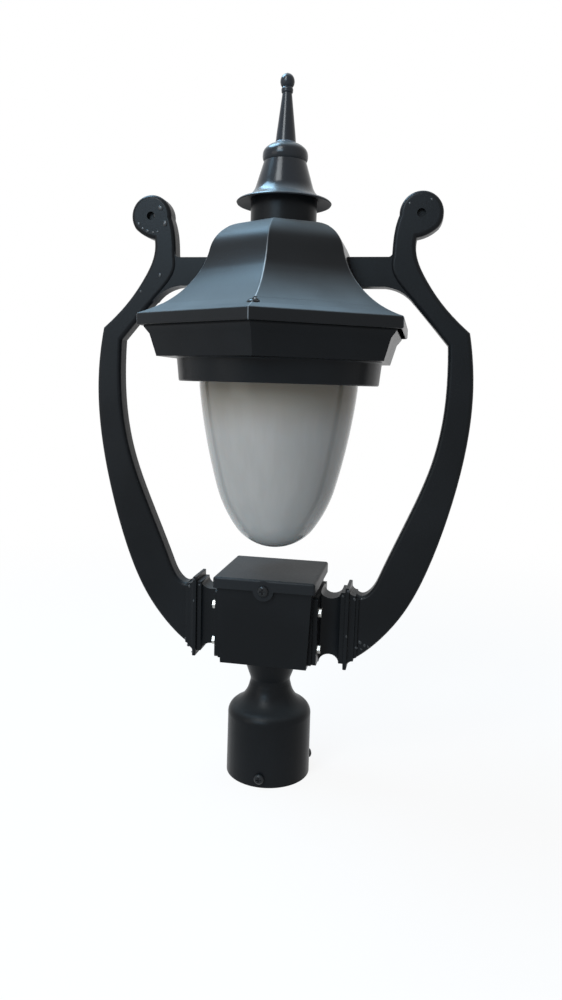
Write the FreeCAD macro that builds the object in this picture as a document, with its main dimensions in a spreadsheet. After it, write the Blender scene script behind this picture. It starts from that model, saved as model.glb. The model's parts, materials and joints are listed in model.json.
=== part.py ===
import FreeCAD, Part
import Sketcher
import math
import os

"""Post top lantern: a hexagonal roof with a finial, an opal bowl in a hexagonal gallery, two cast
arms, a junction box with a lid, and a fitter collar that drops over a round post.

The frame: the origin is the centre of the collar's mouth, +Z is up along the post, the arms lie
in the XZ plane and -Y is the front. All lengths are millimetres and angles are degrees.
"""

# ---------------------------------------------------------------------------------------------
# Driving dimensions
# ---------------------------------------------------------------------------------------------
SIZES = {
    # fitter collar and its set screws
    "post_bore": 78.0,              # bore for a 76 mm post
    "collar_wall": 4.5,
    "socket_depth": 60.0,           # how far the post goes in
    "collar_height": 94.5,
    "collar_straight": 62.0,        # height of the straight part
    "collar_shoulder_drop": 11.5,   # height of the rounded shoulder over the straight part
    "waist_dia": 41.4,              # narrowest part of the neck of the box
    "neck_base_dia": 43.0,          # where the collar meets the neck of the box
    "set_screw_dia": 8.0,
    "set_screw_height": 10.0,
    "set_screw_head_dia": 10.0,
    "set_screw_head_gap": 1.4,      # from the collar to the head before tightening
    "thread_clearance": 0.06,       # radial, between a screw and its own hole
    "slip_clearance": 0.4,          # radial, between a screw and a hole it only passes through
    "drop_in_clearance": 0.3,       # between a part laid in a casting and the wall round it
    # hollow nipple that joins the collar to the box
    "nipple_dia": 16.0,
    "nipple_bore": 11.0,
    "nipple_nut_flats": 24.0,
    "nipple_nut_height": 6.0,
    "washer_thickness": 1.5,
    # junction box
    "box_width": 94.0,              # over the walls at the top
    "box_base_width": 86.4,
    "box_height": 84.0,
    "box_wall": 3.5,
    "neck_height": 33.0,            # between the collar and the box
    "waist_rise": 7.0,              # height of the waist over the collar
    "neck_top_dia": 60.0,
    "pad_inset": 9.0,               # side pads stop this far from the front and back
    "lid_width": 100.2,
    "lid_height": 11.0,
    "lid_wall": 2.6,
    "lid_edge_radius": 2.4,
    "lid_gasket_thickness": 1.8,
    "lid_tab_radius": 10.0,
    "lid_screw_dia": 5.0,
    "lid_screw_head_dia": 10.4,
    # arms
    "arm_thickness": 20.0,
    "bracket_thickness": 17.0,
    "arm_reach": 186.0,             # from the axis to the widest point of an arm
    "arm_width": 24.0,              # at the widest point
    "arm_waist_height": 398.0,      # height of the widest point
    "shoulder_height": 453.5,       # height of the corner over the leg
    "arm_edge_radius": 4.0,
    "scroll_radius": 20.0,
    "scroll_height": 560.0,
    "scroll_reach": 129.5,
    "scroll_dimple_dia": 8.0,
    "scroll_dimple_depth": 5.0,
    "bracket_top": 521.5,
    "bracket_depth": 27.0,
    "bracket_bolt_dia": 6.0,
    "bracket_bolt_pitch": 12.0,
    # foot of the arms
    "flange_thickness": 4.5,
    "flange_depth": 70.0,           # front to back
    "flange_height": 69.0,
    "foot_height": 164.0,           # middle of the foot
    "foot_core_depth": 24.4,
    "foot_core_height": 60.0,
    "foot_fin": 11.8,               # how far the fin stands out of the core, above and below
    "foot_fin_width": 3.6,
    "foot_cove": 1.2,               # how far the cove cuts into the core
    "foot_cove_length": 20.0,
    "foot_bolt_dia": 5.0,
    "foot_bolt_head_flats": 8.0,
    "foot_bolt_spread": 57.2,       # front to back
    "foot_bolt_pitch": 37.0,        # up and down
    # roof
    "roof_brim_width": 241.6,       # across the flats, over the brim
    "roof_brim_depth": 10.5,
    "roof_base": 452.0,             # height of the brim's lower edge
    "roof_height": 99.0,
    "roof_top_width": 63.0,
    "roof_wall": 3.0,
    "roof_seat_width": 14.0,        # ledge inside the brim that the gasket bears on
    "roof_seat_drop": 6.0,          # from the ledge down to the brim's edge
    "roof_screw_dia": 5.0,
    "roof_screw_radius": 121.0,     # from the axis
    "roof_screw_head_dia": 9.0,
    "roof_screw_length": 27.0,
    # finial
    "finial_neck_dia": 62.8,
    "finial_neck_height": 19.5,
    "hat_brim_dia": 90.4,
    "hat_height": 38.0,
    "hat_crown_dia": 40.4,
    "cushion_dia": 42.8,
    "cushion_height": 16.5,
    "spire_height": 63.0,
    "spire_base_dia": 19.6,
    "spire_tip_dia": 9.0,
    "spire_ball_dia": 13.2,
    "tie_rod_dia": 8.0,
    "tie_rod_nut_flats": 13.0,
    # gallery
    "gallery_lip_width": 230.0,     # across the flats, at the lip
    "gallery_base_width": 209.6,
    "gallery_base": 424.5,          # height of the shelf's underside
    "gallery_lip_edge": 4.5,        # height of the lip's upright edge
    "gallery_lip_bevel": 6.0,
    "gallery_wall": 3.0,
    "gallery_ring_dia": 199.0,
    "gallery_ring_height": 22.0,
    "gallery_ring_taper": 1.8,      # on the radius
    "gallery_mouth_dia": 159.0,
    "brim_gasket_thickness": 3.0,
    # bowl
    "bowl_dia": 155.2,
    "bowl_depth": 163.0,            # below the gallery's ring
    "bowl_wall": 3.0,
    "bowl_rim_dia": 172.0,
    "bowl_rim_thickness": 4.0,
    "bowl_gasket_thickness": 2.0,
    "clamp_ring_thickness": 3.0,
    "clamp_screw_dia": 4.0,
    # lamp and its holder
    "bridge_width": 30.0,
    "bridge_thickness": 2.0,
    "holder_dia": 46.0,
    "holder_height": 33.5,
    "lamp_cap_dia": 26.4,
    "lamp_cap_height": 24.0,
    "lamp_bulb_dia": 60.0,
    "lamp_length": 108.0,
    # terminal block
    "terminal_pitch": 12.0,
    "terminal_depth": 24.0,
    "terminal_height": 18.0,
}

doc = FreeCAD.newDocument("post_top_lantern")
sheet = doc.addObject("Spreadsheet::Sheet", "Sizes")
for row, (alias, length) in enumerate(SIZES.items(), start=1):
    sheet.set("A%d" % row, alias)
    sheet.set("B%d" % row, str(length))
    sheet.setAlias("B%d" % row, alias)
doc.recompute()


class Size:
    """A length that carries its number and the sheet formula it is worked out by."""

    def __init__(self, number, formula):
        self.number = number
        self.formula = formula

    def __add__(self, other):
        other = as_size(other)
        return Size(self.number + other.number, "(%s + %s)" % (self.formula, other.formula))

    def __sub__(self, other):
        other = as_size(other)
        return Size(self.number - other.number, "(%s - %s)" % (self.formula, other.formula))

    def __mul__(self, other):
        other = as_size(other)
        return Size(self.number * other.number, "(%s * %s)" % (self.formula, other.formula))

    def __truediv__(self, other):
        other = as_size(other)
        return Size(self.number / other.number, "(%s / %s)" % (self.formula, other.formula))

    def __radd__(self, other):
        return as_size(other) + self

    def __rsub__(self, other):
        return as_size(other) - self

    def __rmul__(self, other):
        return as_size(other) * self

    def __neg__(self):
        return as_size(0) - self


def as_size(length):
    if isinstance(length, Size):
        return length
    return Size(float(length), "(%.9f)" % length)


def size(alias):
    return Size(float(SIZES[alias]), "Sizes." + alias)


def number(length):
    return as_size(length).number


# ---------------------------------------------------------------------------------------------
# Drawing tools
# ---------------------------------------------------------------------------------------------
HEX_CORNER = 1 / math.cos(math.radians(30))     # a hexagon's corner radius over its flat radius
LEAST = 1e-6


def bind(item, name, length):
    """Give a property its value, and its formula where it has one."""
    length = as_size(length)
    if "Sizes." in length.formula:
        item.setExpression(name, length.formula)
    else:
        target = item
        parts = name.split(".")
        if len(parts) == 1:
            setattr(target, name, length.number)


def place(item, x=0, y=0, z=0, turn=None):
    """Put an item at a point whose coordinates keep their formulas."""
    base = FreeCAD.Vector(number(x), number(y), number(z))
    item.Placement = FreeCAD.Placement(base, turn or FreeCAD.Rotation())
    for axis, length in (("x", x), ("y", y), ("z", z)):
        bind(item, "Placement.Base." + axis, length)
    return item


def facing(x, y, z):
    """The turn that brings +Z onto a direction."""
    return FreeCAD.Rotation(FreeCAD.Vector(0, 0, 1), FreeCAD.Vector(x, y, z))


def about_z(angle):
    return FreeCAD.Rotation(FreeCAD.Vector(0, 0, 1), angle)


def new_body(label):
    body = doc.addObject("PartDesign::Body", label)
    body.Label = label
    return body


def new_sketch(body, role, offset=0):
    """A sketch on one of the body's own planes, shifted along the plane's normal."""
    sketch = body.newObject("Sketcher::SketchObject", body.Name + "_sketch")
    plane = [p for p in body.Origin.OriginFeatures if p.Role == role][0]
    sketch.AttachmentSupport = [(plane, "")]
    sketch.MapMode = "FlatFace"
    offset = as_size(offset)
    sketch.AttachmentOffset = FreeCAD.Placement(FreeCAD.Vector(0, 0, offset.number), FreeCAD.Rotation())
    if "Sizes." in offset.formula:
        sketch.setExpression("AttachmentOffset.Base.z", offset.formula)
    return sketch


def pin_down(sketch, edge, point, x, y):
    """Fix a point of an edge at x, y of the sketch, on an axis where a coordinate is nil."""
    for length, kind, axis in ((x, "DistanceX", -2), (y, "DistanceY", -1)):
        length = as_size(length)
        if abs(length.number) < LEAST and "Sizes." not in length.formula:
            sketch.addConstraint(Sketcher.Constraint("PointOnObject", edge, point, axis))
            continue
        index = sketch.addConstraint(Sketcher.Constraint(kind, -1, 1, edge, point, length.number))
        if "Sizes." in length.formula:
            sketch.setExpression("Constraints[%d]" % index, length.formula)


def arc_edge(start, end, radius):
    """A minor arc; a positive radius turns left on the way from start to end."""
    a = FreeCAD.Vector(start[0], start[1], 0)
    b = FreeCAD.Vector(end[0], end[1], 0)
    chord = b - a
    half = chord.Length / 2
    rise = math.sqrt(max(radius * radius - half * half, 0))
    left = FreeCAD.Vector(-chord.y, chord.x, 0).normalize()
    centre = (a + b) * 0.5 + left * math.copysign(rise, radius)
    first, last = (a, b) if radius > 0 else (b, a)
    circle = Part.Circle(centre, FreeCAD.Vector(0, 0, 1), abs(radius))
    begin = math.atan2(first.y - centre.y, first.x - centre.x)
    finish = math.atan2(last.y - centre.y, last.x - centre.x)
    if finish < begin:
        finish += 2 * math.pi
    return Part.ArcOfCircle(circle, begin, finish)


def draw(sketch, outline):
    """Draw a closed outline. Each entry is (x, y), or (x, y, radius) where an arc leads to it."""
    spots = [(number(entry[0]), number(entry[1])) for entry in outline]
    ends = []
    for index, entry in enumerate(outline):
        before = spots[index - 1]
        here = spots[index]
        if len(entry) == 3:
            radius = as_size(entry[2])
            edge = sketch.addGeometry(arc_edge(before, here, radius.number), False)
            tail, head = (1, 2) if radius.number > 0 else (2, 1)
            index_r = sketch.addConstraint(Sketcher.Constraint("Radius", edge, abs(radius.number)))
            if "Sizes." in radius.formula:
                formula = radius.formula if radius.number > 0 else "-" + radius.formula
                sketch.setExpression("Constraints[%d]" % index_r, formula)
        else:
            line = Part.LineSegment(FreeCAD.Vector(*before, 0), FreeCAD.Vector(*here, 0))
            edge = sketch.addGeometry(line, False)
            tail, head = 1, 2
        ends.append((edge, tail, head))
    for index, entry in enumerate(outline):
        edge, _, head = ends[index]
        following, tail, _ = ends[(index + 1) % len(ends)]
        sketch.addConstraint(Sketcher.Constraint("Coincident", edge, head, following, tail))
        pin_down(sketch, edge, head, entry[0], entry[1])
    return sketch


def turned(label, outline):
    """A body turned about Z from its half section, given as (radius, height) points."""
    body = new_body(label)
    sketch = draw(new_sketch(body, "XZ_Plane"), outline)
    feature = body.newObject("PartDesign::Revolution", label + "_turning")
    feature.Profile = sketch
    feature.ReferenceAxis = (sketch, ["V_Axis"])
    feature.Angle = 360
    sketch.Visibility = False
    return body


def ring_outline(inner, outer, low, high):
    return [(inner, low), (outer, low), (outer, high), (inner, high)]


def ring(label, inner, outer, low, high):
    return turned(label, ring_outline(inner, outer, low, high))


def padded_outline(label, outline, role, length, offset=0):
    """A body padded from an outline on an origin plane, the same way on both sides of it."""
    body = new_body(label)
    sketch = draw(new_sketch(body, role, offset), outline)
    feature = body.newObject("PartDesign::Pad", label + "_pad")
    feature.Profile = sketch
    feature.Midplane = True
    feature.Length = number(length)
    bind(feature, "Length", length)
    sketch.Visibility = False
    return body


def hexagon(flat):
    """A hexagon's corners, with flats towards +X and -X, from its flat radius."""
    corner = flat * HEX_CORNER
    spots = []
    for step in range(6):
        angle = math.radians(30 + 60 * step)
        x = corner * math.cos(angle)
        y = corner * math.sin(angle)
        if abs(math.cos(angle)) < LEAST:
            x = 0
        spots.append((x, y))
    return spots


def square(half):
    return [(-half, -half), (half, -half), (half, half), (-half, half)]


def loft(label, sections):
    """A straight loft up Z through (height, outline) sections."""
    body = new_body(label)
    sketches = [draw(new_sketch(body, "XY_Plane", height), outline) for height, outline in sections]
    feature = body.newObject("PartDesign::AdditiveLoft", label + "_loft")
    feature.Profile = sketches[0]
    feature.Sections = sketches[1:]
    feature.Ruled = True
    for sketch in sketches:
        sketch.Visibility = False
    return body


def cylinder(name, radius, height, x=0, y=0, z=0, turn=None):
    item = doc.addObject("Part::Cylinder", name)
    bind(item, "Radius", radius)
    bind(item, "Height", height)
    return place(item, x, y, z, turn)


def block(name, low, high):
    """A box between two corners."""
    item = doc.addObject("Part::Box", name)
    for prop, near, far in zip(("Length", "Width", "Height"), low, high):
        bind(item, prop, as_size(far) - near)
    return place(item, *low)


def prism(name, flat, height, x=0, y=0, z=0, turn=None):
    """A hexagonal prism from its flat radius, with flats towards +X and -X."""
    item = doc.addObject("Part::Prism", name)
    item.Polygon = 6
    bind(item, "Circumradius", as_size(flat) * HEX_CORNER)
    bind(item, "Height", height)
    return place(item, x, y, z, (turn or FreeCAD.Rotation()).multiply(about_z(30)))


def fuse(name, items):
    item = doc.addObject("Part::MultiFuse", name)
    item.Shapes = items
    return item


def common(name, items):
    item = doc.addObject("Part::MultiCommon", name)
    item.Shapes = items
    return item


def cut(name, base, tools):
    """Cut tools away from a base."""
    item = doc.addObject("Part::Cut", name)
    item.Base = base
    item.Tool = tools[0] if len(tools) == 1 else fuse(name + "_tools", tools)
    return item


def group(name, items):
    item = doc.addObject("Part::Compound", name)
    item.Links = items
    return item


NODES = []


def node(label, item):
    """Name a finished piece: its label is the name of its file."""
    item.Label = label
    NODES.append(item)
    return item


# ---------------------------------------------------------------------------------------------
# Shared places
# ---------------------------------------------------------------------------------------------
bore_radius = size("post_bore") / 2
collar_radius = bore_radius + size("collar_wall")
collar_top = size("collar_height")
nipple_radius = size("nipple_dia") / 2
nipple_hole = nipple_radius + size("thread_clearance")
collar_crown = collar_top - 9.5                 # underside of the collar's crown

box_floor = collar_top + size("neck_height")    # underside of the box
box_rim = box_floor + size("box_height")        # upper edge of the box's walls
floor_top = box_floor + size("box_wall")
lid_underside = box_rim + size("lid_gasket_thickness")
lid_top = lid_underside + size("lid_wall")
lid_skirt = lid_top - size("lid_height")
box_half = size("box_width") / 2

gallery_ring_foot = size("gallery_base") - size("gallery_ring_height")
gallery_ledge = gallery_ring_foot + size("gallery_wall")
bowl_rim_low = gallery_ledge + size("bowl_gasket_thickness")
bowl_rim_high = bowl_rim_low + size("bowl_rim_thickness")
clamp_ring_top = bowl_rim_high + size("clamp_ring_thickness")
gallery_floor = size("gallery_base") + size("gallery_wall")

brim_flat = size("roof_brim_width") / 2
roof_seat = size("roof_base") + size("roof_seat_drop")
roof_top = size("roof_base") + size("roof_height")
lip_top = roof_seat - size("brim_gasket_thickness")
lip_flat = size("gallery_lip_width") / 2
seat_inner_flat = lip_flat - 1 - size("roof_seat_width")

hat_base = roof_top + size("finial_neck_height")
hat_top = hat_base + size("hat_height")
cushion_top = hat_top + size("cushion_height")
ROOF_SCREW_ANGLES = (-90, 30, 150)
SET_SCREW_ANGLES = {"front": -90, "right": 30, "left": 150}
SIDES = {"left": -1, "right": 1}


def cross_recess(name, arm, width, depth):
    """The crossed slots of a screw head, open upwards, with their floor at height nil."""
    slots = [block(name + "_a", (-arm, -width / 2, 0), (arm, width / 2, depth)),
             block(name + "_b", (-width / 2, -arm, 0), (width / 2, arm, depth))]
    return fuse(name, slots)


def pan_screw(name, radius, length, head_radius, head_height, recess=True):
    """A pan head screw along Z: the head's underside is at height nil, and the shank hangs down."""
    dome = head_height * 0.45
    outline = [(0, -length), (radius, -length), (radius, 0), (head_radius, 0),
               (head_radius, head_height - dome), (head_radius - dome, head_height), (0, head_height)]
    screw = turned(name + "_turned", outline)
    if not recess:
        return screw
    slots = cross_recess(name + "_recess", head_radius * 0.55, head_radius * 0.24, head_height)
    place(slots, 0, 0, head_height * 0.45)
    return cut(name, screw, [slots])


def hex_bolt(name, radius, length, flat, head_height):
    """A hexagon bolt along Z: the head's underside is at height nil, and the shank hangs down."""
    head = prism(name + "_head", flat, head_height)
    shank = cylinder(name + "_shank", radius, length + 1, 0, 0, -as_size(length))
    return fuse(name, [head, shank])


# ---------------------------------------------------------------------------------------------
# Fitter collar, set screws and nipple
# ---------------------------------------------------------------------------------------------
def make_collar():
    waist = size("neck_base_dia") / 2
    straight = size("collar_straight")
    shoulder = straight + size("collar_shoulder_drop")
    socket = size("socket_depth")
    ledge = bore_radius - 5
    outline = [
        (bore_radius, 0), (collar_radius, 0), (collar_radius - 0.4, straight),
        (collar_radius - 6.8, shoulder, 11.5), (waist, collar_top, -30),
        (nipple_hole, collar_top), (nipple_hole, collar_crown), (nipple_radius + 6, collar_crown),
        (ledge, socket + 3), (ledge, socket), (bore_radius, socket)]
    shell = turned("collar_casting", outline)
    holes = []
    for name, angle in SET_SCREW_ANGLES.items():
        direction = math.cos(math.radians(angle)), math.sin(math.radians(angle))
        radius = size("set_screw_dia") / 2 + size("thread_clearance")
        start = bore_radius - 6
        holes.append(cylinder("collar_hole_" + name, radius, size("collar_wall") + 12,
                              start * direction[0], start * direction[1],
                              size("set_screw_height"), facing(*direction, 0)))
    node("fitter_collar", cut("collar", shell, holes))


def make_set_screws():
    tip = 0.2                                   # the tip stays this far inside the wall
    gap = size("set_screw_head_gap")
    length = size("collar_wall") + gap - tip
    for name, angle in SET_SCREW_ANGLES.items():
        screw = pan_screw("set_screw_" + name, size("set_screw_dia") / 2, length,
                          size("set_screw_head_dia") / 2, 3.2)
        direction = math.cos(math.radians(angle)), math.sin(math.radians(angle))
        seat = collar_radius + gap
        place(screw, seat * direction[0], seat * direction[1], size("set_screw_height"),
              facing(*direction, 0))
        node("set_screw_" + name, screw)


def nipple_nut(label, low):
    flat = size("nipple_nut_flats") / 2
    height = size("nipple_nut_height")
    hexagonal = prism(label + "_hexagon", flat, height, z=low)
    hole = cylinder(label + "_thread", nipple_hole, height + 2, z=low - 1)
    node(label, cut(label + "_cut", hexagonal, [hole]))


def make_nipple():
    washer = size("washer_thickness")
    nut = size("nipple_nut_height")
    low = collar_crown - washer - nut - 2
    high = floor_top + washer + nut + 3
    node("cable_nipple", ring("nipple", size("nipple_bore") / 2, nipple_radius, low, high))
    for label, height in (("nipple_washer_lower", collar_crown - washer),
                          ("nipple_washer_upper", floor_top)):
        node(label, ring(label + "_ring", nipple_hole, nipple_radius + 5.5, height, height + washer))
    nipple_nut("nipple_nut_lower", collar_crown - washer - nut)
    nipple_nut("nipple_nut_upper", floor_top + washer)


# ---------------------------------------------------------------------------------------------
# Junction box and what is in it
# ---------------------------------------------------------------------------------------------
foot_bolt_heights = [size("foot_height") + size("foot_bolt_pitch") / 2,
                     size("foot_height") - size("foot_bolt_pitch") / 2]
foot_bolt_offsets = [-size("foot_bolt_spread") / 2, size("foot_bolt_spread") / 2]
tab_height = lid_skirt + 0.3                    # centre of the lid's tab and of its screw
TERMINALS = (-1, 0, 1)
TERMINAL_Y = 8.0                                # the block stands behind the nipple
terminal_foot = floor_top + 4


def box_shape(name, low, high, inset):
    """A tapered square block between two heights, smaller than the box's outside by an inset."""
    top = box_half - inset
    bottom = size("box_base_width") / 2 - inset
    return loft(name, [(low, square(bottom)), (high, square(top))])


def make_box():
    wall = size("box_wall")
    outside = box_shape("box_outside", box_floor, box_rim, 0)
    pad_half = box_half - size("pad_inset")
    pads = block("box_side_pads", (-box_half, -pad_half, box_floor + 3),
                 (box_half, pad_half, lid_skirt - 0.5))
    waist = size("waist_dia") / 2
    neck = turned("box_neck", [(0, collar_top), (size("neck_base_dia") / 2, collar_top),
                               (waist, collar_top + size("waist_rise"), -14),
                               (size("neck_top_dia") / 2, box_floor), (0, box_floor + wall)])
    posts = [cylinder("terminal_post", 4, terminal_foot - box_floor - 1, x, TERMINAL_POST_Y, box_floor + 1)
             for x in (-terminal_post_x, terminal_post_x)]
    earth_boss = cylinder("earth_boss", 5.5, 10, EARTH_X, EARTH_Y, box_floor + 1)
    solid = fuse("box_solid", [outside, pads, neck])
    inside = box_shape("box_inside", floor_top, box_rim + 0.01, wall)
    hollow = cut("box_hollow", solid, [inside])
    furnished = fuse("box_furnished", [hollow, earth_boss] + posts)
    slip = size("slip_clearance")
    tools = [cylinder("box_nipple_hole", nipple_hole, size("neck_height") + 20, z=collar_top - 5)]
    for height in foot_bolt_heights:
        for y in foot_bolt_offsets:
            tools.append(cylinder("box_bolt_hole", size("foot_bolt_dia") / 2 + slip,
                                  box_half * 2 + 10, -box_half - 5, y, height, facing(1, 0, 0)))
    slot = size("lid_screw_dia") / 2 + slip
    tools.append(cylinder("box_slot_round", slot, 14, 0, -box_half + 8, tab_height, facing(0, -1, 0)))
    tools.append(block("box_slot", (-slot, -box_half - 6, tab_height),
                       (slot, -box_half + 8, box_rim + 2)))
    for x in (-terminal_post_x, terminal_post_x):
        tools.append(cylinder("terminal_tap", 1.5 + size("thread_clearance"), 5,
                              x, TERMINAL_POST_Y, terminal_foot - 4))
    tools.append(cylinder("earth_tap", 2.5 + size("thread_clearance"), 8,
                          EARTH_X, EARTH_Y, box_floor + 4))
    node("junction_box", cut("box", furnished, tools))


def make_lid():
    half = size("lid_width") / 2
    wall = size("lid_wall")
    body = new_body("lid_pressing")
    sketch = draw(new_sketch(body, "XY_Plane", lid_skirt), square(half))
    pad = body.newObject("PartDesign::Pad", "lid_pad")
    pad.Profile = sketch
    bind(pad, "Length", size("lid_height"))
    doc.recompute()
    edges = []
    for index, edge in enumerate(pad.Shape.Edges, start=1):
        middle = edge.valueAt((edge.FirstParameter + edge.LastParameter) / 2)
        if middle.z > number(lid_skirt) + 1:
            edges.append("Edge%d" % index)
    rounding = body.newObject("PartDesign::Fillet", "lid_rounding")
    rounding.Base = (pad, edges)
    bind(rounding, "Radius", size("lid_edge_radius"))
    sketch.Visibility = False
    tab = cylinder("lid_tab", size("lid_tab_radius"), wall, 0, -half + wall, tab_height,
                   facing(0, -1, 0))
    shell = fuse("lid_shell", [body, tab])
    inner = half - wall
    inside = block("lid_inside", (-inner, -inner, lid_skirt - 20), (inner, inner, lid_underside))
    hole = cylinder("lid_screw_hole", size("lid_screw_dia") / 2 + size("slip_clearance"), wall + 4,
                    0, -half + wall + 2, tab_height, facing(0, -1, 0))
    node("box_lid", cut("lid", shell, [inside, hole]))
    outer = box_half - 0.2
    gasket = block("lid_gasket_sheet", (-outer, -outer, box_rim), (outer, outer, lid_underside))
    opening = box_half - size("box_wall") - 1
    mouth = block("lid_gasket_mouth", (-opening, -opening, box_rim - 1),
                  (opening, opening, lid_underside + 1))
    node("lid_gasket", cut("lid_gasket_cut", gasket, [mouth]))
    slot = size("lid_screw_dia") / 2
    screw = pan_screw("lid_screw", slot, 19, size("lid_screw_head_dia") / 2, 3.4)
    place(screw, 0, -half, tab_height, facing(0, -1, 0))
    node("lid_screw", screw)
    nut_back = -half + 7.3
    nut = prism("lid_nut_hexagon", 4, 4, 0, nut_back + 4, tab_height, facing(0, -1, 0))
    thread = cylinder("lid_nut_thread", slot + size("thread_clearance"), 6, 0, nut_back + 5,
                      tab_height, facing(0, -1, 0))
    node("lid_nut", cut("lid_nut_cut", nut, [thread]))


TERMINAL_POST_Y = 26.0
EARTH_X, EARTH_Y = 0.0, -26.0
terminal_post_x = size("terminal_pitch") * 1.5 + 5


def make_box_contents():
    pitch = size("terminal_pitch")
    depth = size("terminal_depth")
    front = TERMINAL_POST_Y - depth / 2
    back = TERMINAL_POST_Y + depth / 2 - 2
    half = terminal_post_x + 5
    base = block("terminal_base", (-half, TERMINAL_POST_Y - 5, terminal_foot),
                 (half, TERMINAL_POST_Y + 5, terminal_foot + 5))
    towers = [block("terminal_tower", (pitch * step - pitch * 0.42, front, terminal_foot),
                    (pitch * step + pitch * 0.42, back, terminal_foot + size("terminal_height")))
              for step in TERMINALS]
    tools = []
    for step in TERMINALS:
        tools.append(cylinder("terminal_wire_hole", 2.6, depth + 6, pitch * step, front - 2,
                              terminal_foot + 6.5, facing(0, 1, 0)))
        tools.append(cylinder("terminal_screw_well", 2.4, 16, pitch * step, TERMINAL_POST_Y - 6,
                              terminal_foot + 6.5))
    for x in (-terminal_post_x, terminal_post_x):
        tools.append(cylinder("terminal_fixing_hole", 1.8, 8, x, TERMINAL_POST_Y, terminal_foot - 1))
    node("terminal_block", cut("terminal", fuse("terminal_solid", [base] + towers), tools))
    heads = [cylinder("terminal_screw", 2.1, 5, pitch * step, TERMINAL_POST_Y - 6,
                      terminal_foot + size("terminal_height") - 6.5) for step in TERMINALS]
    stems = [cylinder("terminal_clamp", 2.35, size("terminal_height") - 12.5, pitch * step,
                      TERMINAL_POST_Y - 6, terminal_foot + 6) for step in TERMINALS]
    node("terminal_screws", group("terminal_screw_group",
                                  [fuse("terminal_screw_whole", pair) for pair in zip(heads, stems)]))
    fixings = [place(pan_screw("terminal_fixing", 1.5, 8.5, 2.9, 2, recess=False), x,
                     TERMINAL_POST_Y, terminal_foot + 5) for x in (-terminal_post_x, terminal_post_x)]
    node("terminal_fixing_screws", group("terminal_fixing_group", fixings))
    earth = pan_screw("earth_terminal", 2.5, 7, 5, 3.2)
    node("earth_screw", place(earth, EARTH_X, EARTH_Y, box_floor + 11))


# ---------------------------------------------------------------------------------------------
# Roof and finial
# ---------------------------------------------------------------------------------------------
def roof_profile(shift):
    """The roof's bell section, as its outline on both sides of the axis, drawn in by a shift."""
    height = size("roof_height")
    brim_top = size("roof_base") + size("roof_brim_depth")
    foot = size("roof_base") - 1 if number(shift) else size("roof_base")
    corners = [
        (brim_flat, foot, None), (brim_flat, brim_top, None),
        (brim_flat - 50.3, brim_top + height * 0.414, -92),
        (size("roof_top_width") / 2 + 30.7, roof_top - height * 0.2586, -74),
        (size("roof_top_width") / 2, roof_top, 33.8)]
    lower = (0, 0, as_size(shift) * 0.8, as_size(shift) * 0.8, shift)
    right = [(x - shift, z - drop, radius) for (x, z, radius), drop in zip(corners, lower)]
    path = [(x, z, radius) if radius else (x, z) for x, z, radius in right]
    radii = [radius for _, _, radius in right]
    for index in range(len(right) - 1, -1, -1):
        x, z, _ = right[index]
        radius = radii[index + 1] if index + 1 < len(right) else None
        path.append((-x, z, radius) if radius else (-x, z))
    return path


def roof_bell(name, shift):
    """The hexagonal bell: what three crossing sections have in common."""
    length = size("roof_brim_width") * 1.4
    wings = []
    for step in range(3):
        wing = padded_outline("%s_wing_%d" % (name, step + 1), roof_profile(shift), "XZ_Plane", length)
        wing.Placement = FreeCAD.Placement(FreeCAD.Vector(), about_z(60 * step))
        wings.append(wing)
    crown = size("roof_top_width") / 2 - shift + 1.5
    top = roof_top - shift
    reach = brim_flat * 1.3
    round_cap = turned(name + "_round", [
        (0, size("roof_base") - 2), (reach, size("roof_base") - 2), (reach, top - 26),
        (crown + 42, top - 26), (crown, top, 46), (0, top)])
    return common(name, wings + [round_cap])


bracket_bolt_heights = [size("bracket_top") - size("bracket_depth") / 2 + size("bracket_bolt_pitch") / 2,
                        size("bracket_top") - size("bracket_depth") / 2 - size("bracket_bolt_pitch") / 2]
boss_face = size("roof_top_width") / 2 + 25.5   # the flat inside the roof that the bolts bear on
screw_seat = roof_seat + 8.5                    # floor of the roof screws' counterbores


def polar(radius, angle):
    return radius * math.cos(math.radians(angle)), radius * math.sin(math.radians(angle))


def make_roof():
    wall = size("roof_wall")
    outside = roof_bell("roof_outside", as_size(0))
    inside = roof_bell("roof_inside", wall)
    hollow = cut("roof_hollow", outside, [inside])
    seat_block = prism("roof_seat_outer", lip_flat - 1, 40, z=roof_seat)
    seat_bore = prism("roof_seat_inner", seat_inner_flat, 42, z=roof_seat - 1)
    seat = common("roof_seat", [cut("roof_seat_ring", seat_block, [seat_bore]), outside])
    bosses = []
    low = size("bracket_top") - size("bracket_depth") - 1
    high = size("bracket_top") + 1
    for name, side in SIDES.items():
        near, far = (boss_face, brim_flat) if side > 0 else (-brim_flat, -boss_face)
        rough = block("roof_boss_%s_block" % name, (near, -9, low), (far, 9, high))
        bosses.append(common("roof_boss_" + name, [rough, outside]))
    solid = fuse("roof_solid", [hollow, seat] + bosses)
    slip = size("slip_clearance")
    tools = [cylinder("roof_rod_hole", size("tie_rod_dia") / 2 + slip, wall + 6, z=roof_top - wall - 3)]
    for angle in ROOF_SCREW_ANGLES:
        x, y = polar(size("roof_screw_radius"), angle)
        tools.append(cylinder("roof_screw_hole", size("roof_screw_dia") / 2 + slip, 30, x, y, roof_seat - 2))
        tools.append(cylinder("roof_counterbore", size("roof_screw_head_dia") / 2 + 0.6, 20, x, y, screw_seat))
    for height in bracket_bolt_heights:
        tools.append(cylinder("roof_bolt_hole", size("bracket_bolt_dia") / 2 + slip, brim_flat * 2,
                              -brim_flat, 0, height, facing(1, 0, 0)))
    node("roof", cut("roof_cut", solid, tools))
    return outside


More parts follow.
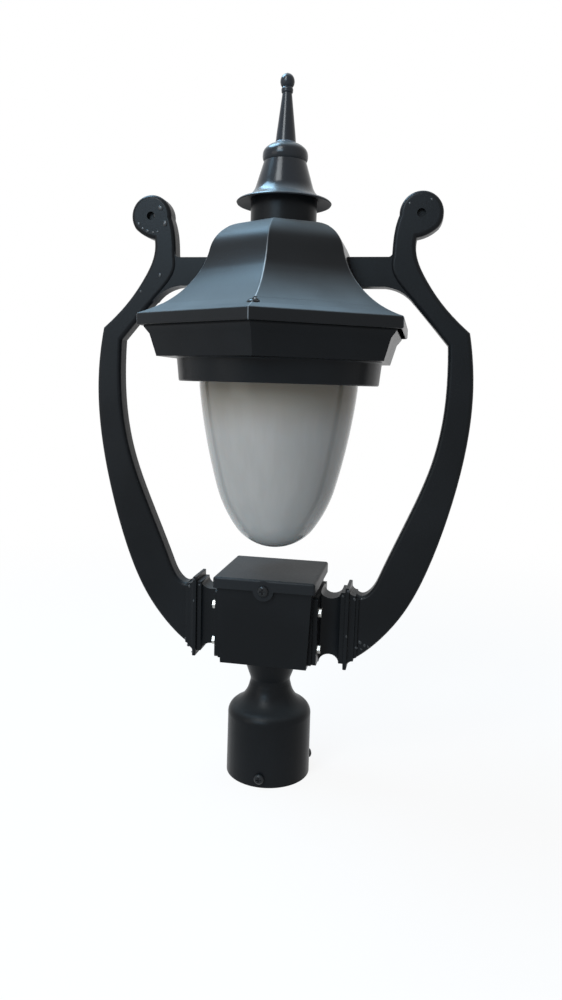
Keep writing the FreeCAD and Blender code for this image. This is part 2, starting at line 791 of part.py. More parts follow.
def make_roof_screws():
    screws = []
    for angle in ROOF_SCREW_ANGLES:
        screw = pan_screw("roof_screw", size("roof_screw_dia") / 2, size("roof_screw_length"),
                          size("roof_screw_head_dia") / 2, 3)
        screws.append(place(screw, *polar(size("roof_screw_radius"), angle), screw_seat))
    node("roof_screws", group("roof_screw_group", screws))


def make_bracket_bolts():
    washer = size("washer_thickness")
    radius = size("bracket_bolt_dia") / 2
    bolts = []
    washers = []
    for side in SIDES.values():
        for height in bracket_bolt_heights:
            bolt = hex_bolt("bracket_bolt", radius, washer + bracket_grip, 5, 4)
            bolts.append(place(bolt, side * (boss_face - washer), 0, height, facing(-side, 0, 0)))
            disc = ring("bracket_washer", radius + size("thread_clearance"), 5.8, 0, washer)
            washers.append(place(disc, side * boss_face, 0, height, facing(-side, 0, 0)))
    node("bracket_bolts", group("bracket_bolt_group", bolts))
    node("bracket_washers", group("bracket_washer_group", washers))


bracket_grip = as_size(34)                      # from the boss into the bracket


def make_finial():
    neck_radius = size("finial_neck_dia") / 2
    rod_hole = size("tie_rod_dia") / 2 + size("slip_clearance")
    node("finial_neck", turned("finial_neck_turned", [
        (rod_hole, roof_top), (neck_radius, roof_top), (neck_radius, hat_base + 4),
        (neck_radius - 8, hat_base + 6), (rod_hole, hat_base + 6)]))
    brim = size("hat_brim_dia") / 2
    crown = size("hat_crown_dia") / 2
    node("finial_hat", turned("finial_hat_turned", [
        (rod_hole, hat_base + 6), (neck_radius - 8, hat_base + 6), (neck_radius, hat_base + 4),
        (brim - 0.6, hat_base + 0.2), (brim, hat_base + 1.2), (brim - 1.2, hat_base + 2.4),
        (neck_radius - 4.5, hat_base + 16.3, -19.5), (crown + 4.2, hat_top - 13.5), (crown, hat_top),
        (rod_hole, hat_top)]))
    cushion = size("cushion_dia") / 2
    spire_radius = size("spire_base_dia") / 2
    node("finial_cushion", turned("finial_cushion_turned", [
        (rod_hole, hat_top), (crown - 0.6, hat_top), (cushion, hat_top + 6, 8),
        (cushion - 3, hat_top + 12.5, 8), (spire_radius + 0.6, cushion_top, 16),
        (rod_hole, cushion_top)]))
    tip = size("spire_tip_dia") / 2
    ball = size("spire_ball_dia") / 2
    socket = size("tie_rod_dia") / 2 + size("thread_clearance")
    top = cushion_top + size("spire_height")
    bead = top - 2 * ball - 2
    node("finial_spire", turned("finial_spire_turned", [
        (socket, cushion_top), (spire_radius, cushion_top), (spire_radius - 0.9, cushion_top + 9),
        (tip, bead - 3), (tip + 0.9, bead - 1, 2), (tip + 0.9, bead + 1, 3), (tip + 0.3, bead + 2.4),
        (ball, top - ball, 7.2), (ball * 0.45, top - 1.4, 7), (0, top), (0, cushion_top + 20),
        (socket, cushion_top + 17)]))
    washer = size("washer_thickness")
    under = roof_top - size("roof_wall")
    nut_flat = size("tie_rod_nut_flats") / 2
    rod_low = under - washer - 10
    rod_radius = size("tie_rod_dia") / 2
    node("tie_rod", turned("tie_rod_turned", [
        (0, rod_low), (rod_radius, rod_low), (rod_radius, cushion_top + 16), (0, cushion_top + 16)]))
    node("tie_rod_washer", ring("tie_rod_washer_ring", socket, 9, under - washer, under))
    nut = prism("tie_rod_nut_hexagon", nut_flat, 6.5, z=under - washer - 6.5)
    thread = cylinder("tie_rod_nut_thread", socket, 9, z=under - washer - 7.5)
    node("tie_rod_nut", cut("tie_rod_nut_cut", nut, [thread]))


# ---------------------------------------------------------------------------------------------
# Arms
# ---------------------------------------------------------------------------------------------
def vector(x, z):
    return FreeCAD.Vector(number(x), 0, number(z))


def curve(points):
    """A smooth edge through points."""
    line = Part.BSplineCurve()
    line.interpolate([vector(*spot) for spot in points])
    return line.toShape()


def arc_through(start, middle, end):
    return Part.Arc(vector(*start), vector(*middle), vector(*end)).toShape()


def straight(start, end):
    return Part.LineSegment(vector(*start), vector(*end)).toShape()


cove_end = box_half + size("flange_thickness") + size("foot_cove_length")
arm_foot_x = cove_end + size("foot_fin_width") + 11.4


def arm_outline():
    """The flat outline of the right arm: up the stem, round the scroll, down the leg to the foot."""
    reach = size("arm_reach")
    inner_reach = reach - size("arm_width")
    waist = size("arm_waist_height")
    shoulder = size("shoulder_height")
    scroll_x = size("scroll_reach")
    scroll_z = size("scroll_height")
    radius = size("scroll_radius")
    bracket = size("bracket_top")
    stem = scroll_x - 25.3                      # inner side of the stem under the scroll
    throat = scroll_x - 3                       # outer side of the stem under the scroll
    spread = number(reach - scroll_x) / 56.5    # how far the arm bows out past its scroll
    foot = size("foot_height")
    leg = waist - foot                          # height of the leg from the foot to the widest point

    def along(share):
        """A place on the leg's way in from the widest point to the foot."""
        return reach - (reach - arm_foot_x) * share

    def on_scroll(angle):
        turn = math.radians(angle)
        return scroll_x + radius * math.cos(turn), scroll_z + radius * math.sin(turn)

    stem_low = (stem + 0.4, bracket + 1)
    notch = (throat, scroll_z - 21.5)
    corner = (reach - 6.4, shoulder)
    heel = (arm_foot_x, foot - 33)
    toe = (arm_foot_x, foot + 34.5)
    inner_corner = (inner_reach - 1.6, shoulder - 12)
    edges = [
        curve([stem_low, (stem + 0.8, bracket + 14), (stem + 2.6, bracket + 28), on_scroll(184)]),
        arc_through(on_scroll(184), on_scroll(75), on_scroll(-36)),
        curve([on_scroll(-36), (scroll_x + radius * 0.45, scroll_z - radius * 0.86), notch]),
        curve([notch, (throat + 0.9, scroll_z - 38), (throat + 0.9 + 9.4 * spread, scroll_z - 58),
               (throat + 0.9 + 26 * spread, scroll_z - 81), corner]),
        curve([corner, (reach - 2.6, shoulder - 22), (reach, waist), (reach - 3, waist - leg * 0.22),
               (reach - 13.2, waist - leg * 0.455), (reach - 29.6, waist - leg * 0.70),
               (along(0.534), waist - leg * 0.925), (along(0.745), waist - leg * 1.045),
               (along(0.917), waist - leg * 1.115), heel]),
        straight(heel, toe),
        curve([toe, (arm_foot_x + 5, foot + 32.6), (arm_foot_x + 12, foot + 37),
               (arm_foot_x + 21.3, foot + 54),
               (inner_reach - 28, waist - leg * 0.50), (inner_reach - 10.6, waist - leg * 0.295),
               (inner_reach - 2, waist - leg * 0.10), (inner_reach - 0.4, waist + 16),
               inner_corner]),
        curve([inner_corner, (inner_reach - 14.6, shoulder + 3), (inner_reach - 35, shoulder + 26),
               (inner_reach - 45, shoulder + 37), (stem + 4, bracket - 20), stem_low]),
    ]
    return Part.Wire(edges)


def bracket_outline():
    """The flat outline of the web that ties the right arm to the roof."""
    bracket = size("bracket_top")
    stem = size("scroll_reach") - 25.3
    low = bracket - size("bracket_depth")
    near = boss_face - 5
    inner_reach = size("arm_reach") - size("arm_width")
    shoulder = size("shoulder_height")
    edges = [
        straight((near, bracket), (stem - 4, bracket)),
        arc_through((stem - 4, bracket), (stem - 0.2, bracket + 1.2), (stem + 1.0, bracket + 5)),
        straight((stem + 1.0, bracket + 5), (stem + 12, bracket + 5)),
        straight((stem + 12, bracket + 5), (inner_reach - 30, shoulder + 26)),
        straight((inner_reach - 30, shoulder + 26), (inner_reach - 35, shoulder + 26)),
        curve([(inner_reach - 35, shoulder + 26), (inner_reach - 45.6, shoulder + 35.4),
               (stem - 5, low)]),
        straight((stem - 5, low), (near, low)),
        straight((near, low), (near, bracket)),
    ]
    return Part.Wire(edges)


def plate(outline, thickness, radius=None, keep=None):
    """A flat casting about the XZ plane, with its long edges eased where keep(spot) is true."""
    half = number(thickness) / 2
    face = Part.Face(outline)
    face.translate(FreeCAD.Vector(0, -half, 0))
    solid = face.extrude(FreeCAD.Vector(0, 2 * half, 0))
    if radius is None:
        return solid
    eased = []
    for edge in solid.Edges:
        middle = edge.valueAt((edge.FirstParameter + edge.LastParameter) / 2)
        if abs(abs(middle.y) - half) < LEAST and keep(middle):
            eased.append(edge)
    return solid.makeFillet(number(radius), eased)


def foot_moulding():
    """The foot: a flange on the box, a cove, a sharp fin and a step, one solid."""
    start = number(box_half)
    flange = number(size("flange_thickness"))
    core_depth = number(size("foot_core_depth")) / 2
    core_height = number(size("foot_core_height")) / 2
    fin = number(size("foot_fin"))
    width = number(size("foot_fin_width"))
    cove = number(size("foot_cove"))
    span = number(size("foot_cove_length"))
    middle = number(size("foot_height"))
    near = start + flange
    shoulder = fin * 0.55
    profile = [(near - 0.5, shoulder)]
    steps = 10
    for step in range(steps + 1):
        angle = math.pi * step / steps
        rise = (shoulder + cove) * (1 - math.sin(angle)) - cove
        profile.append((near + span * (1 - math.cos(angle)) / 2, rise))
    after = near + span
    profile += [(after + 4.2, shoulder), (after + 4.7, fin - 0.6), (after + 5.2, fin),
                (after + 4.2 + width, fin), (after + 4.7 + width, fin - 0.6),
                (after + 5.2 + width, shoulder), (after + 6.6 + width, fin * 0.42),
                (after + 8.6 + width, fin * 0.32), (after + 11 + width, fin * 0.30),
                (after + 11.5 + width, fin * 0.08), (after + 14 + width, 0)]
    sections = []
    for place_x, out in profile:
        depth = core_depth + out / 2
        height = core_height + out
        corners = [FreeCAD.Vector(place_x, y, middle + z) for y, z in
                   ((-depth, -height), (depth, -height), (depth, height), (-depth, height))]
        sections.append(Part.makePolygon(corners + corners[:1]))
    moulding = Part.makeLoft(sections, True, True)
    depth = number(size("flange_depth")) / 2
    height = number(size("flange_height"))
    base = Part.makeBox(flange, 2 * depth, height,
                        FreeCAD.Vector(start, -depth, middle - height / 2))
    upright = [edge for edge in base.Edges if abs(edge.tangentAt(edge.FirstParameter).x) > 0.9]
    return moulding.fuse(base.makeFillet(3, upright))


def make_arms(roof_outside):
    foot_edge = number(arm_foot_x) + LEAST
    limb = plate(arm_outline(), size("arm_thickness"), size("arm_edge_radius"),
                 lambda spot: spot.x > foot_edge)
    web = plate(bracket_outline(), size("bracket_thickness"))
    casting = limb.fuse([web, foot_moulding()])
    bell = roof_outside.Shape
    casting = casting.cut(bell)
    half = number(size("arm_thickness")) / 2
    depth = number(size("scroll_dimple_depth"))
    hub = FreeCAD.Vector(number(size("scroll_reach")), -half - 1, number(size("scroll_height")))
    dimple = Part.makeCylinder(number(size("scroll_dimple_dia")) / 2, depth + 1, hub,
                               FreeCAD.Vector(0, 1, 0))
    tools = [dimple]
    radius = number(size("foot_bolt_dia") / 2 + size("slip_clearance"))
    start = number(box_half)
    for height in foot_bolt_heights:
        for y in foot_bolt_offsets:
            base = FreeCAD.Vector(start - 1, number(y), number(height))
            tools.append(Part.makeCylinder(radius, number(size("flange_thickness")) + 2, base,
                                           FreeCAD.Vector(1, 0, 0)))
    tap = number(size("bracket_bolt_dia") / 2 + size("thread_clearance"))
    for height in bracket_bolt_heights:
        base = FreeCAD.Vector(number(boss_face) - 6, 0, number(height))
        tools.append(Part.makeCylinder(tap, number(bracket_grip) + 8, base, FreeCAD.Vector(1, 0, 0)))
    casting = casting.cut(Part.makeCompound(tools)).removeSplitter()
    for name, side in SIDES.items():
        item = doc.addObject("Part::Feature", name + "_arm_casting")
        if side > 0:
            item.Shape = casting
        else:
            mirrored = casting.mirror(FreeCAD.Vector(), FreeCAD.Vector(1, 0, 0))
            item.Shape = mirrored
        item.Placement = FreeCAD.Placement()
        node(name + "_arm", item)


def make_foot_fasteners():
    radius = size("foot_bolt_dia") / 2
    head = size("foot_bolt_head_flats") / 2
    seat = box_half + size("flange_thickness")
    nuts = []
    for name, side in SIDES.items():
        bolts = []
        for height in foot_bolt_heights:
            for y in foot_bolt_offsets:
                length = size("flange_thickness") + 17
                bolt = hex_bolt("foot_bolt_" + name, radius, length, head, 3.4)
                bolts.append(place(bolt, side * seat, y, height, facing(side, 0, 0)))
                hexagonal = prism("foot_nut_%s_hexagon" % name, head, 4)
                thread = cylinder("foot_nut_%s_thread" % name, radius + size("thread_clearance"), 7, z=-1)
                nut = cut("foot_nut_" + name, hexagonal, [thread])
                nuts.append(place(nut, side * foot_nut_face(height), y, height, facing(-side, 0, 0)))
        node("foot_bolts_" + name, group("foot_bolt_group_" + name, bolts))
    node("foot_nuts", group("foot_nut_group", nuts))


def foot_nut_face(height):
    """Where a nut's lower edge meets the inside of the box's drafted wall, at a height."""
    slope = (size("box_width") - size("box_base_width")) / 2 / (box_rim - floor_top)
    reach = size("foot_bolt_head_flats") / 2
    face = size("box_base_width") / 2 - size("box_wall") + slope * (height - floor_top - reach)
    return face - size("thread_clearance")


# ---------------------------------------------------------------------------------------------
# Gallery, bowl and lamp
# ---------------------------------------------------------------------------------------------
clamp_angles = (0, 90, 180, 270)
ring_bore = size("gallery_ring_dia") / 2 - size("gallery_ring_taper") - size("gallery_wall")
clamp_ring_radius = ring_bore - size("drop_in_clearance")
clamp_screw_radius = clamp_ring_radius - size("clamp_screw_dia") - 0.5
bridge_half = size("gallery_base_width") / 2 - size("gallery_wall") - size("drop_in_clearance")
bridge_hole = bridge_half - 4
bridge_seat = gallery_floor + 4


def make_gallery():
    wall = size("gallery_wall")
    base = size("gallery_base")
    base_flat = size("gallery_base_width") / 2
    edge = lip_top - size("gallery_lip_edge")
    shoulder_flat = lip_flat - 4.6
    outer = loft("gallery_outer", [
        (base, hexagon(base_flat)), (edge - size("gallery_lip_bevel"), hexagon(shoulder_flat)),
        (edge, hexagon(lip_flat)), (lip_top, hexagon(lip_flat))])
    inner = loft("gallery_inner", [
        (gallery_floor, hexagon(base_flat - wall)), (lip_top - wall, hexagon(shoulder_flat - wall))])
    eye = prism("gallery_eye", seat_inner_flat, wall + 2, z=lip_top - wall - 1)
    ring_radius = size("gallery_ring_dia") / 2
    foot = gallery_ring_foot
    spigot = turned("gallery_spigot", [
        (0, foot), (ring_radius - size("gallery_ring_taper") - 1, foot),
        (ring_radius - size("gallery_ring_taper"), foot + 1), (ring_radius, base - 2),
        (ring_radius + 2, base, -2.2), (0, base + 1)])
    solid = fuse("gallery_solid", [outer, spigot])
    well = turned("gallery_well", [(0, gallery_ledge), (ring_bore, gallery_ledge),
                                   (ring_bore, gallery_floor + 1), (0, gallery_floor + 1)])
    mouth = cylinder("gallery_mouth", size("gallery_mouth_dia") / 2, 30, z=foot - 5)
    shell = cut("gallery_shell", solid, [inner, eye, well, mouth])
    bosses = []
    for angle in ROOF_SCREW_ANGLES:
        x, y = polar(size("roof_screw_radius"), angle)
        low = lip_top - 15
        rough = cylinder("gallery_boss_rough", 6, 15, x, y, low)
        bosses.append(common("gallery_boss", [rough, outer]))
    for angle in clamp_angles:
        x, y = polar(clamp_screw_radius, angle)
        bosses.append(cylinder("gallery_clamp_boss", 3.6, bowl_rim_high - gallery_ring_foot - 1, x, y,
                               gallery_ring_foot + 1))
    for x in (-bridge_hole, bridge_hole):
        bosses.append(cylinder("gallery_bridge_boss", 3.3, bridge_seat - size("gallery_base") - 1, x, 0,
                               size("gallery_base") + 1))
    whole = fuse("gallery_whole", [shell] + bosses)
    tools = []
    for angle in ROOF_SCREW_ANGLES:
        x, y = polar(size("roof_screw_radius"), angle)
        tools.append(cylinder("gallery_screw_hole", size("roof_screw_dia") / 2 + size("thread_clearance"),
                              20, x, y, lip_top - 17))
    for angle in clamp_angles:
        x, y = polar(clamp_screw_radius, angle)
        tools.append(cylinder("gallery_clamp_tap", size("clamp_screw_dia") / 2 + size("thread_clearance"),
                              12, x, y, bowl_rim_high - 7))
    for x in (-bridge_hole, bridge_hole):
        tools.append(cylinder("gallery_bridge_tap", 1.5 + size("thread_clearance"), 12, x, 0, bridge_seat - 5.4))
    node("gallery", cut("gallery_cut", whole, tools))
    gasket_outer = prism("brim_gasket_outer", lip_flat - 1, size("brim_gasket_thickness"), z=lip_top)
    gasket_inner = prism("brim_gasket_inner", seat_inner_flat, size("brim_gasket_thickness") + 2,
                         z=lip_top - 1)
    holes = []
    for angle in ROOF_SCREW_ANGLES:
        x, y = polar(size("roof_screw_radius"), angle)
        holes.append(cylinder("brim_gasket_hole", size("roof_screw_dia") / 2 + 0.5, 6, x, y, lip_top - 1))
    node("brim_gasket", cut("brim_gasket_cut", gasket_outer, [gasket_inner] + holes))




def make_bowl():
    rim = size("bowl_rim_dia") / 2
    neck = size("bowl_dia") / 2
    wall = size("bowl_wall")
    low = gallery_ring_foot
    bottom = low - size("bowl_depth")
    drop = low - bottom
    belly = (neck * 0.7616, bottom + drop * 0.3742)
    chin = (neck * 0.5155, bottom + drop * 0.1276)
    shoulder = low - 4
    outline = [
        (0, bottom), (chin[0], chin[1], neck * 0.63), (belly[0], belly[1], neck * 1.70),
        (neck, shoulder, neck * 7.69),
        (neck, bowl_rim_low), (rim, bowl_rim_low), (rim, bowl_rim_high),
        (neck - wall, bowl_rim_high), (neck - wall, shoulder),
        (belly[0] - wall * 0.96, belly[1] + wall * 0.27, -(neck * 7.69 - wall)),
        (chin[0] - wall * 0.82, chin[1] + wall * 0.57, -(neck * 1.70 - wall)),
        (0, bottom + wall, -(neck * 0.63 - wall))]
    node("bowl", turned("bowl_turned", outline))
    inner = size("gallery_mouth_dia") / 2 + 1
    node("bowl_gasket", ring("bowl_gasket_ring", inner, rim, gallery_ledge, bowl_rim_low))
    clamp = ring("clamp_ring_disc", neck - wall, clamp_ring_radius, bowl_rim_high, clamp_ring_top)
    holes = []
    screws = []
    for angle in clamp_angles:
        x, y = polar(clamp_screw_radius, angle)
        radius = size("clamp_screw_dia") / 2
        holes.append(cylinder("clamp_hole", radius + size("slip_clearance"), 9, x, y, bowl_rim_high - 2))
        screw = pan_screw("clamp_screw", radius, 9, 3.8, 2.4)
        screws.append(place(screw, x, y, clamp_ring_top))
    node("bowl_clamp_ring", cut("clamp_ring_cut", clamp, holes))
    node("clamp_ring_screws", group("clamp_screw_group", screws))


holder_top = bridge_seat
holder_low = holder_top - size("holder_height")
lamp_top = holder_top - 10                      # top of the lamp's cap
lamp_gap = 0.5                                  # radial, between the cap and the holder's shell


def make_lamp_bridge():
    half = bridge_half
    width = size("bridge_width") / 2
    thick = size("bridge_thickness")
    strap = block("bridge_strap", (-half, -width, bridge_seat), (half, width, bridge_seat + thick))
    tools = [cylinder("bridge_wire_hole", 5, thick + 2, 0, 0, bridge_seat - 1)]
    for x in (-bridge_hole, bridge_hole):
        tools.append(cylinder("bridge_fixing_hole", 1.5 + size("slip_clearance"), thick + 2, x, 0,
                              bridge_seat - 1))
    for x in (-HOLDER_FIXING, HOLDER_FIXING):
        tools.append(cylinder("bridge_holder_hole", 1.5 + size("slip_clearance"), thick + 2, x, 0,
                              bridge_seat - 1))
    node("lamp_bridge", cut("bridge_cut", strap, tools))
    fixings = [place(pan_screw("bridge_screw", 1.5, 7, 3, 2.2), x, 0, bridge_seat + thick)
               for x in (-bridge_hole, bridge_hole)]
    node("bridge_screws", group("bridge_screw_group", fixings))
    screws = [place(pan_screw("holder_screw", 1.5, 8, 2.9, 2, recess=False), x, 0, bridge_seat + thick)
              for x in (-HOLDER_FIXING, HOLDER_FIXING)]
    node("holder_screws", group("holder_screw_group", screws))


HOLDER_FIXING = 12.5


def make_lampholder():
    radius = size("holder_dia") / 2
    cap = size("lamp_cap_dia") / 2
    shell_bore = cap + lamp_gap
    shell_wall = 0.8
    seat = holder_top - 9
    body = turned("holder_turned", [
        (0, seat), (shell_bore + shell_wall, seat), (shell_bore + shell_wall, holder_low),
        (radius - 2, holder_low), (radius, holder_low + 2), (radius, holder_top - 12),
        (radius - 5, holder_top, 14), (0, holder_top)])
    tools = [cylinder("holder_wire_way", 3, 12, 0, 0, seat - 1)]
    for x in (-HOLDER_FIXING, HOLDER_FIXING):
        tools.append(cylinder("holder_tap", 1.5 + size("thread_clearance"), 10, x, 0, holder_top - 7))
    node("lampholder", cut("holder_cut", body, tools))
    node("lampholder_shell", ring("holder_shell_ring", shell_bore, shell_bore + shell_wall,
                                  holder_low + 4, seat))
    contact = turned("holder_contact_turned", [
        (0, lamp_top + 0.3), (3.4, lamp_top + 0.3), (4.6, seat - 0.1), (4.6, seat), (2.9, seat),
        (2.9, seat + 5), (0, seat + 5)])
    node("lampholder_contact", contact)


def make_lamp():
    cap = size("lamp_cap_dia") / 2
    bulb = size("lamp_bulb_dia") / 2
    low = lamp_top - size("lamp_cap_height")
    bottom = lamp_top - size("lamp_length")
    node("lamp_cap", turned("lamp_cap_turned", [
        (0, lamp_top), (4, lamp_top), (9, lamp_top - 3), (cap, lamp_top - 5), (cap, low),
        (0, low)][::-1]))
    centre = bottom + bulb
    node("lamp_bulb", turned("lamp_bulb_turned", [
        (0, bottom), (bulb, centre, bulb), (cap + 4, low - 9, 52), (cap, low, -16), (0, low)]))


# ---------------------------------------------------------------------------------------------
# Build, check and write
# ---------------------------------------------------------------------------------------------
def check_document():
    """Stop if any object failed, or any finished piece isn't a sound shape."""
    faults = []
    for item in doc.Objects:
        if "Invalid" in item.State or "Error" in item.State:
            faults.append("%s: %s" % (item.Name, ", ".join(item.State)))
    for item in NODES:
        if item.Shape.isNull() or not item.Shape.isValid() or not item.Shape.Solids:
            faults.append("%s has no sound shape" % item.Label)
    if faults:
        raise RuntimeError("\n".join(faults))


def write_pieces():
    os.makedirs("parts", exist_ok=True)
    for item in NODES:
        item.Shape.exportStep(os.path.join("parts", item.Label + ".step"))


def main():
    make_collar()
    make_set_screws()
    make_nipple()
    make_box()
    make_lid()
    make_box_contents()
    roof_outside = make_roof()
    make_roof_screws()
    make_bracket_bolts()
    make_finial()
    doc.recompute()
    make_arms(roof_outside)
    make_foot_fasteners()
    make_gallery()
    make_bowl()
    make_lamp_bridge()
    make_lampholder()
    make_lamp()
    doc.recompute()
    check_document()
    write_pieces()


main()
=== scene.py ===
"""Post top lantern: the dressed model of an outdoor lantern head that drops over a round post.

Metres throughout. The origin is the centre of the fitter collar's mouth, +Z runs up the post, the two
arms stand in the XZ plane, and -Y is the front, where the lid's tab and the front set screw are.
The outer pieces are copies of the CAD nodes with their edges rounded. Beads of paint on the arms and a
run of paint under the spire are added to them, and the inner pieces are shown as they were made.
"""

import json
import math

import bmesh
import bpy
from bpy.props import FloatProperty, FloatVectorProperty, PointerProperty
from mathutils import Matrix, Vector

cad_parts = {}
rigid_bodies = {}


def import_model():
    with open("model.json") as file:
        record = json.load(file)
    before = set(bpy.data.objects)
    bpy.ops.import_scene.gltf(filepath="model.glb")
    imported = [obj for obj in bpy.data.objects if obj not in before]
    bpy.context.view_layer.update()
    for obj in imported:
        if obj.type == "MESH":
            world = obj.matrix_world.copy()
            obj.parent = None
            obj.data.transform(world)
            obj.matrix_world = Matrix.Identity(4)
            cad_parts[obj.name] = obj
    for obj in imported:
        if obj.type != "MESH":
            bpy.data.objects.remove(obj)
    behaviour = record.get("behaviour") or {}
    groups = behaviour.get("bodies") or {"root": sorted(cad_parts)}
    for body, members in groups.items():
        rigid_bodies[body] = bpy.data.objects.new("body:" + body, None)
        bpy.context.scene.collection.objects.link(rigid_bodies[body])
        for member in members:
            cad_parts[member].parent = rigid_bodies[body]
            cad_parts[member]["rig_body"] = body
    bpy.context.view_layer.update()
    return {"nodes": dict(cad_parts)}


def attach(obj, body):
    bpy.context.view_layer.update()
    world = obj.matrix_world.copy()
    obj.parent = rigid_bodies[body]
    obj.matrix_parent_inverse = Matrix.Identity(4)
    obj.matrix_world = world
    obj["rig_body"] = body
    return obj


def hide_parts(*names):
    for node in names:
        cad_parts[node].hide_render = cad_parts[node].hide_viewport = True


bl_info = {
    "name": "Post top lantern",
    "version": (1, 0, 0),
    "blender": (4, 5, 0),
    "location": "View3D > Sidebar > Lantern",
    "description": "Castings, finial, opal bowl, fasteners, finishes and stage of a post top lantern",
    "category": "Object",
}

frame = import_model()
NODES = frame["nodes"]
SLOT_OF = {name: node.data.materials[0].name for name, node in NODES.items()}
MM = 0.001
SAME_POINT = 1e-6       # points nearer than this are one
FLAT_ANGLE = 0.4        # degrees between triangles that are one flat face
SHARP_ANGLE = 32.0      # degrees from which an edge is rounded


# ---------------------------------------------------------------------------------------------
# Settings
# ---------------------------------------------------------------------------------------------
def colour_setting(name, description, default):
    """A colour that the sidebar shows."""
    return FloatVectorProperty(name=name, description=description, subtype="COLOR", size=3,
                               min=0.0, max=1.0, default=default)


def length_setting(name, description, default):
    """A length in metres that the sidebar shows."""
    return FloatProperty(name=name, description=description, unit="LENGTH", min=0.0, default=default)


class LanternColours(bpy.types.PropertyGroup):
    """Colours of the paints, metals and plastics."""
    paint: colour_setting("Paint", "Satin paint on the castings", (0.0056, 0.0060, 0.0066))
    gloss: colour_setting("Gloss paint", "Gloss paint on the finial", (0.0060, 0.0080, 0.0110))
    # Rubbed paint along the hips, lighter still as a painted highlight along the front hip.
    hip_wear_and_highlight: colour_setting("Worn paint", "Rubbed paint along the roof's hips", (0.30, 0.31, 0.32))
    # Dust colour that is also a painted sheen: bluish grey, laid on faces that look up, where the satin
    # paint gleams.
    dust_and_sheen: colour_setting("Dust", "Fine dust on faces that look up", (0.135, 0.150, 0.158))
    opal: colour_setting("Opal", "Opal plastic of the bowl", (0.292, 0.262, 0.238))
    opal_rim: colour_setting("Opal rim", "Top of the bowl, in the gallery's shade", (0.190, 0.152, 0.116))
    zinc: colour_setting("Zinc", "Zinc plated screws and nuts", (0.42, 0.42, 0.40))
    brass: colour_setting("Brass", "Terminals and contacts", (0.72, 0.50, 0.20))
    floor: colour_setting("Floor", "Pale studio floor", (0.80, 0.80, 0.80))


class LanternSizes(bpy.types.PropertyGroup):
    """Sizes of the details that finish the castings."""
    edge: length_setting("Edge", "Rounding of the castings' sharp edges", 0.7 * MM)
    hip: length_setting("Hip", "Rounding of the roof's hips and brim", 1.4 * MM)
    small_edge: length_setting("Small edge", "Rounding of the lid, gaskets, screw heads and nuts",
                               0.25 * MM)
    bead: length_setting("Paint bead", "Radius of the paint's larger beads", 2.2 * MM)
    run: length_setting("Paint run", "Thickness of the run of paint under the spire", 1.1 * MM)


def colours():
    """The scene's own colours."""
    return bpy.context.scene.lantern_colours


def sizes():
    """The scene's own sizes."""
    return bpy.context.scene.lantern_sizes


# ---------------------------------------------------------------------------------------------
# Bench tools
# ---------------------------------------------------------------------------------------------
def clear_selection():
    """Leaves edit mode, with nothing selected."""
    if bpy.context.object is not None and bpy.context.object.mode != "OBJECT":
        bpy.ops.object.mode_set(mode="OBJECT")
    bpy.ops.object.select_all(action="DESELECT")


def take(piece):
    """Makes a piece the only one selected, and the active one."""
    clear_selection()
    piece.select_set(True)
    bpy.context.view_layer.objects.active = piece
    return piece


class Editing:
    """Edit mode on a piece, where its points are picked all together or by a test on each."""

    def __init__(self, piece):
        self.piece = piece

    def __enter__(self):
        take(self.piece)
        bpy.ops.object.mode_set(mode="EDIT")
        bpy.ops.mesh.select_mode(type="VERT")
        bpy.ops.mesh.select_all(action="DESELECT")
        return self

    def pick(self, test=None):
        """Picks the points that pass the test, or all of them."""
        if test is None:
            bpy.ops.mesh.select_all(action="SELECT")
            return
        bpy.ops.mesh.select_all(action="DESELECT")
        mesh = bmesh.from_edit_mesh(self.piece.data)
        for point in mesh.verts:
            if test(point):
                point.select_set(True)
        mesh.select_flush_mode()
        bmesh.update_edit_mesh(self.piece.data)

    def __exit__(self, *trouble):
        bpy.ops.object.mode_set(mode="OBJECT")


def modify(piece, kind, **settings):
    """Adds a modifier and applies it."""
    take(piece)
    added = piece.modifiers.new(kind.lower(), kind)
    for name, value in settings.items():
        setattr(added, name, value)
    bpy.ops.object.modifier_apply(modifier=added.name)


def smooth(piece, degrees=35.0):
    """Shades a piece smooth over every edge that turns less than this."""
    take(piece)
    bpy.ops.object.shade_smooth_by_angle(angle=math.radians(degrees))


def copied(name):
    """A copy of a CAD node with its loose triangles joined and its flats made whole faces."""
    piece = bpy.data.objects.new(name + "_dressed", NODES[name].data.copy())
    bpy.context.scene.collection.objects.link(piece)
    piece.data.name = piece.name
    piece.data.materials.clear()
    take(piece)
    bpy.ops.mesh.customdata_custom_splitnormals_clear()
    with Editing(piece) as bench:
        bench.pick()
        bpy.ops.mesh.remove_doubles(threshold=SAME_POINT)
        bench.pick()
        bpy.ops.mesh.dissolve_limited(angle_limit=math.radians(FLAT_ANGLE))
    return piece


def eased(piece, width, segments=2, clamp=True):
    """Rounds the sharp edges as a casting's or a pressing's are, and keeps the flats flat."""
    modify(piece, "BEVEL", width=width, segments=segments, limit_method="ANGLE",
           angle_limit=math.radians(SHARP_ANGLE), use_clamp_overlap=clamp, miter_outer="MITER_ARC")
    smooth(piece, 50.0)
    modify(piece, "WEIGHTED_NORMAL", weight=60, keep_sharp=True)


def fit(piece, body, finish, replaces=()):
    """Gives a finished piece its finish, its body and the nodes that it stands for."""
    piece.data.materials.clear()
    piece.data.materials.append(finish)
    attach(piece, body)
    if replaces:
        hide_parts(*replaces)


def dressed(name, finish, edge=None, **rounding):
    """Adds the finished copy of a CAD node, in the node's own place and body."""
    piece = copied(name)
    if edge is None:
        smooth(piece)
    else:
        eased(piece, edge, **rounding)
    fit(piece, NODES[name]["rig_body"], finish, [name])


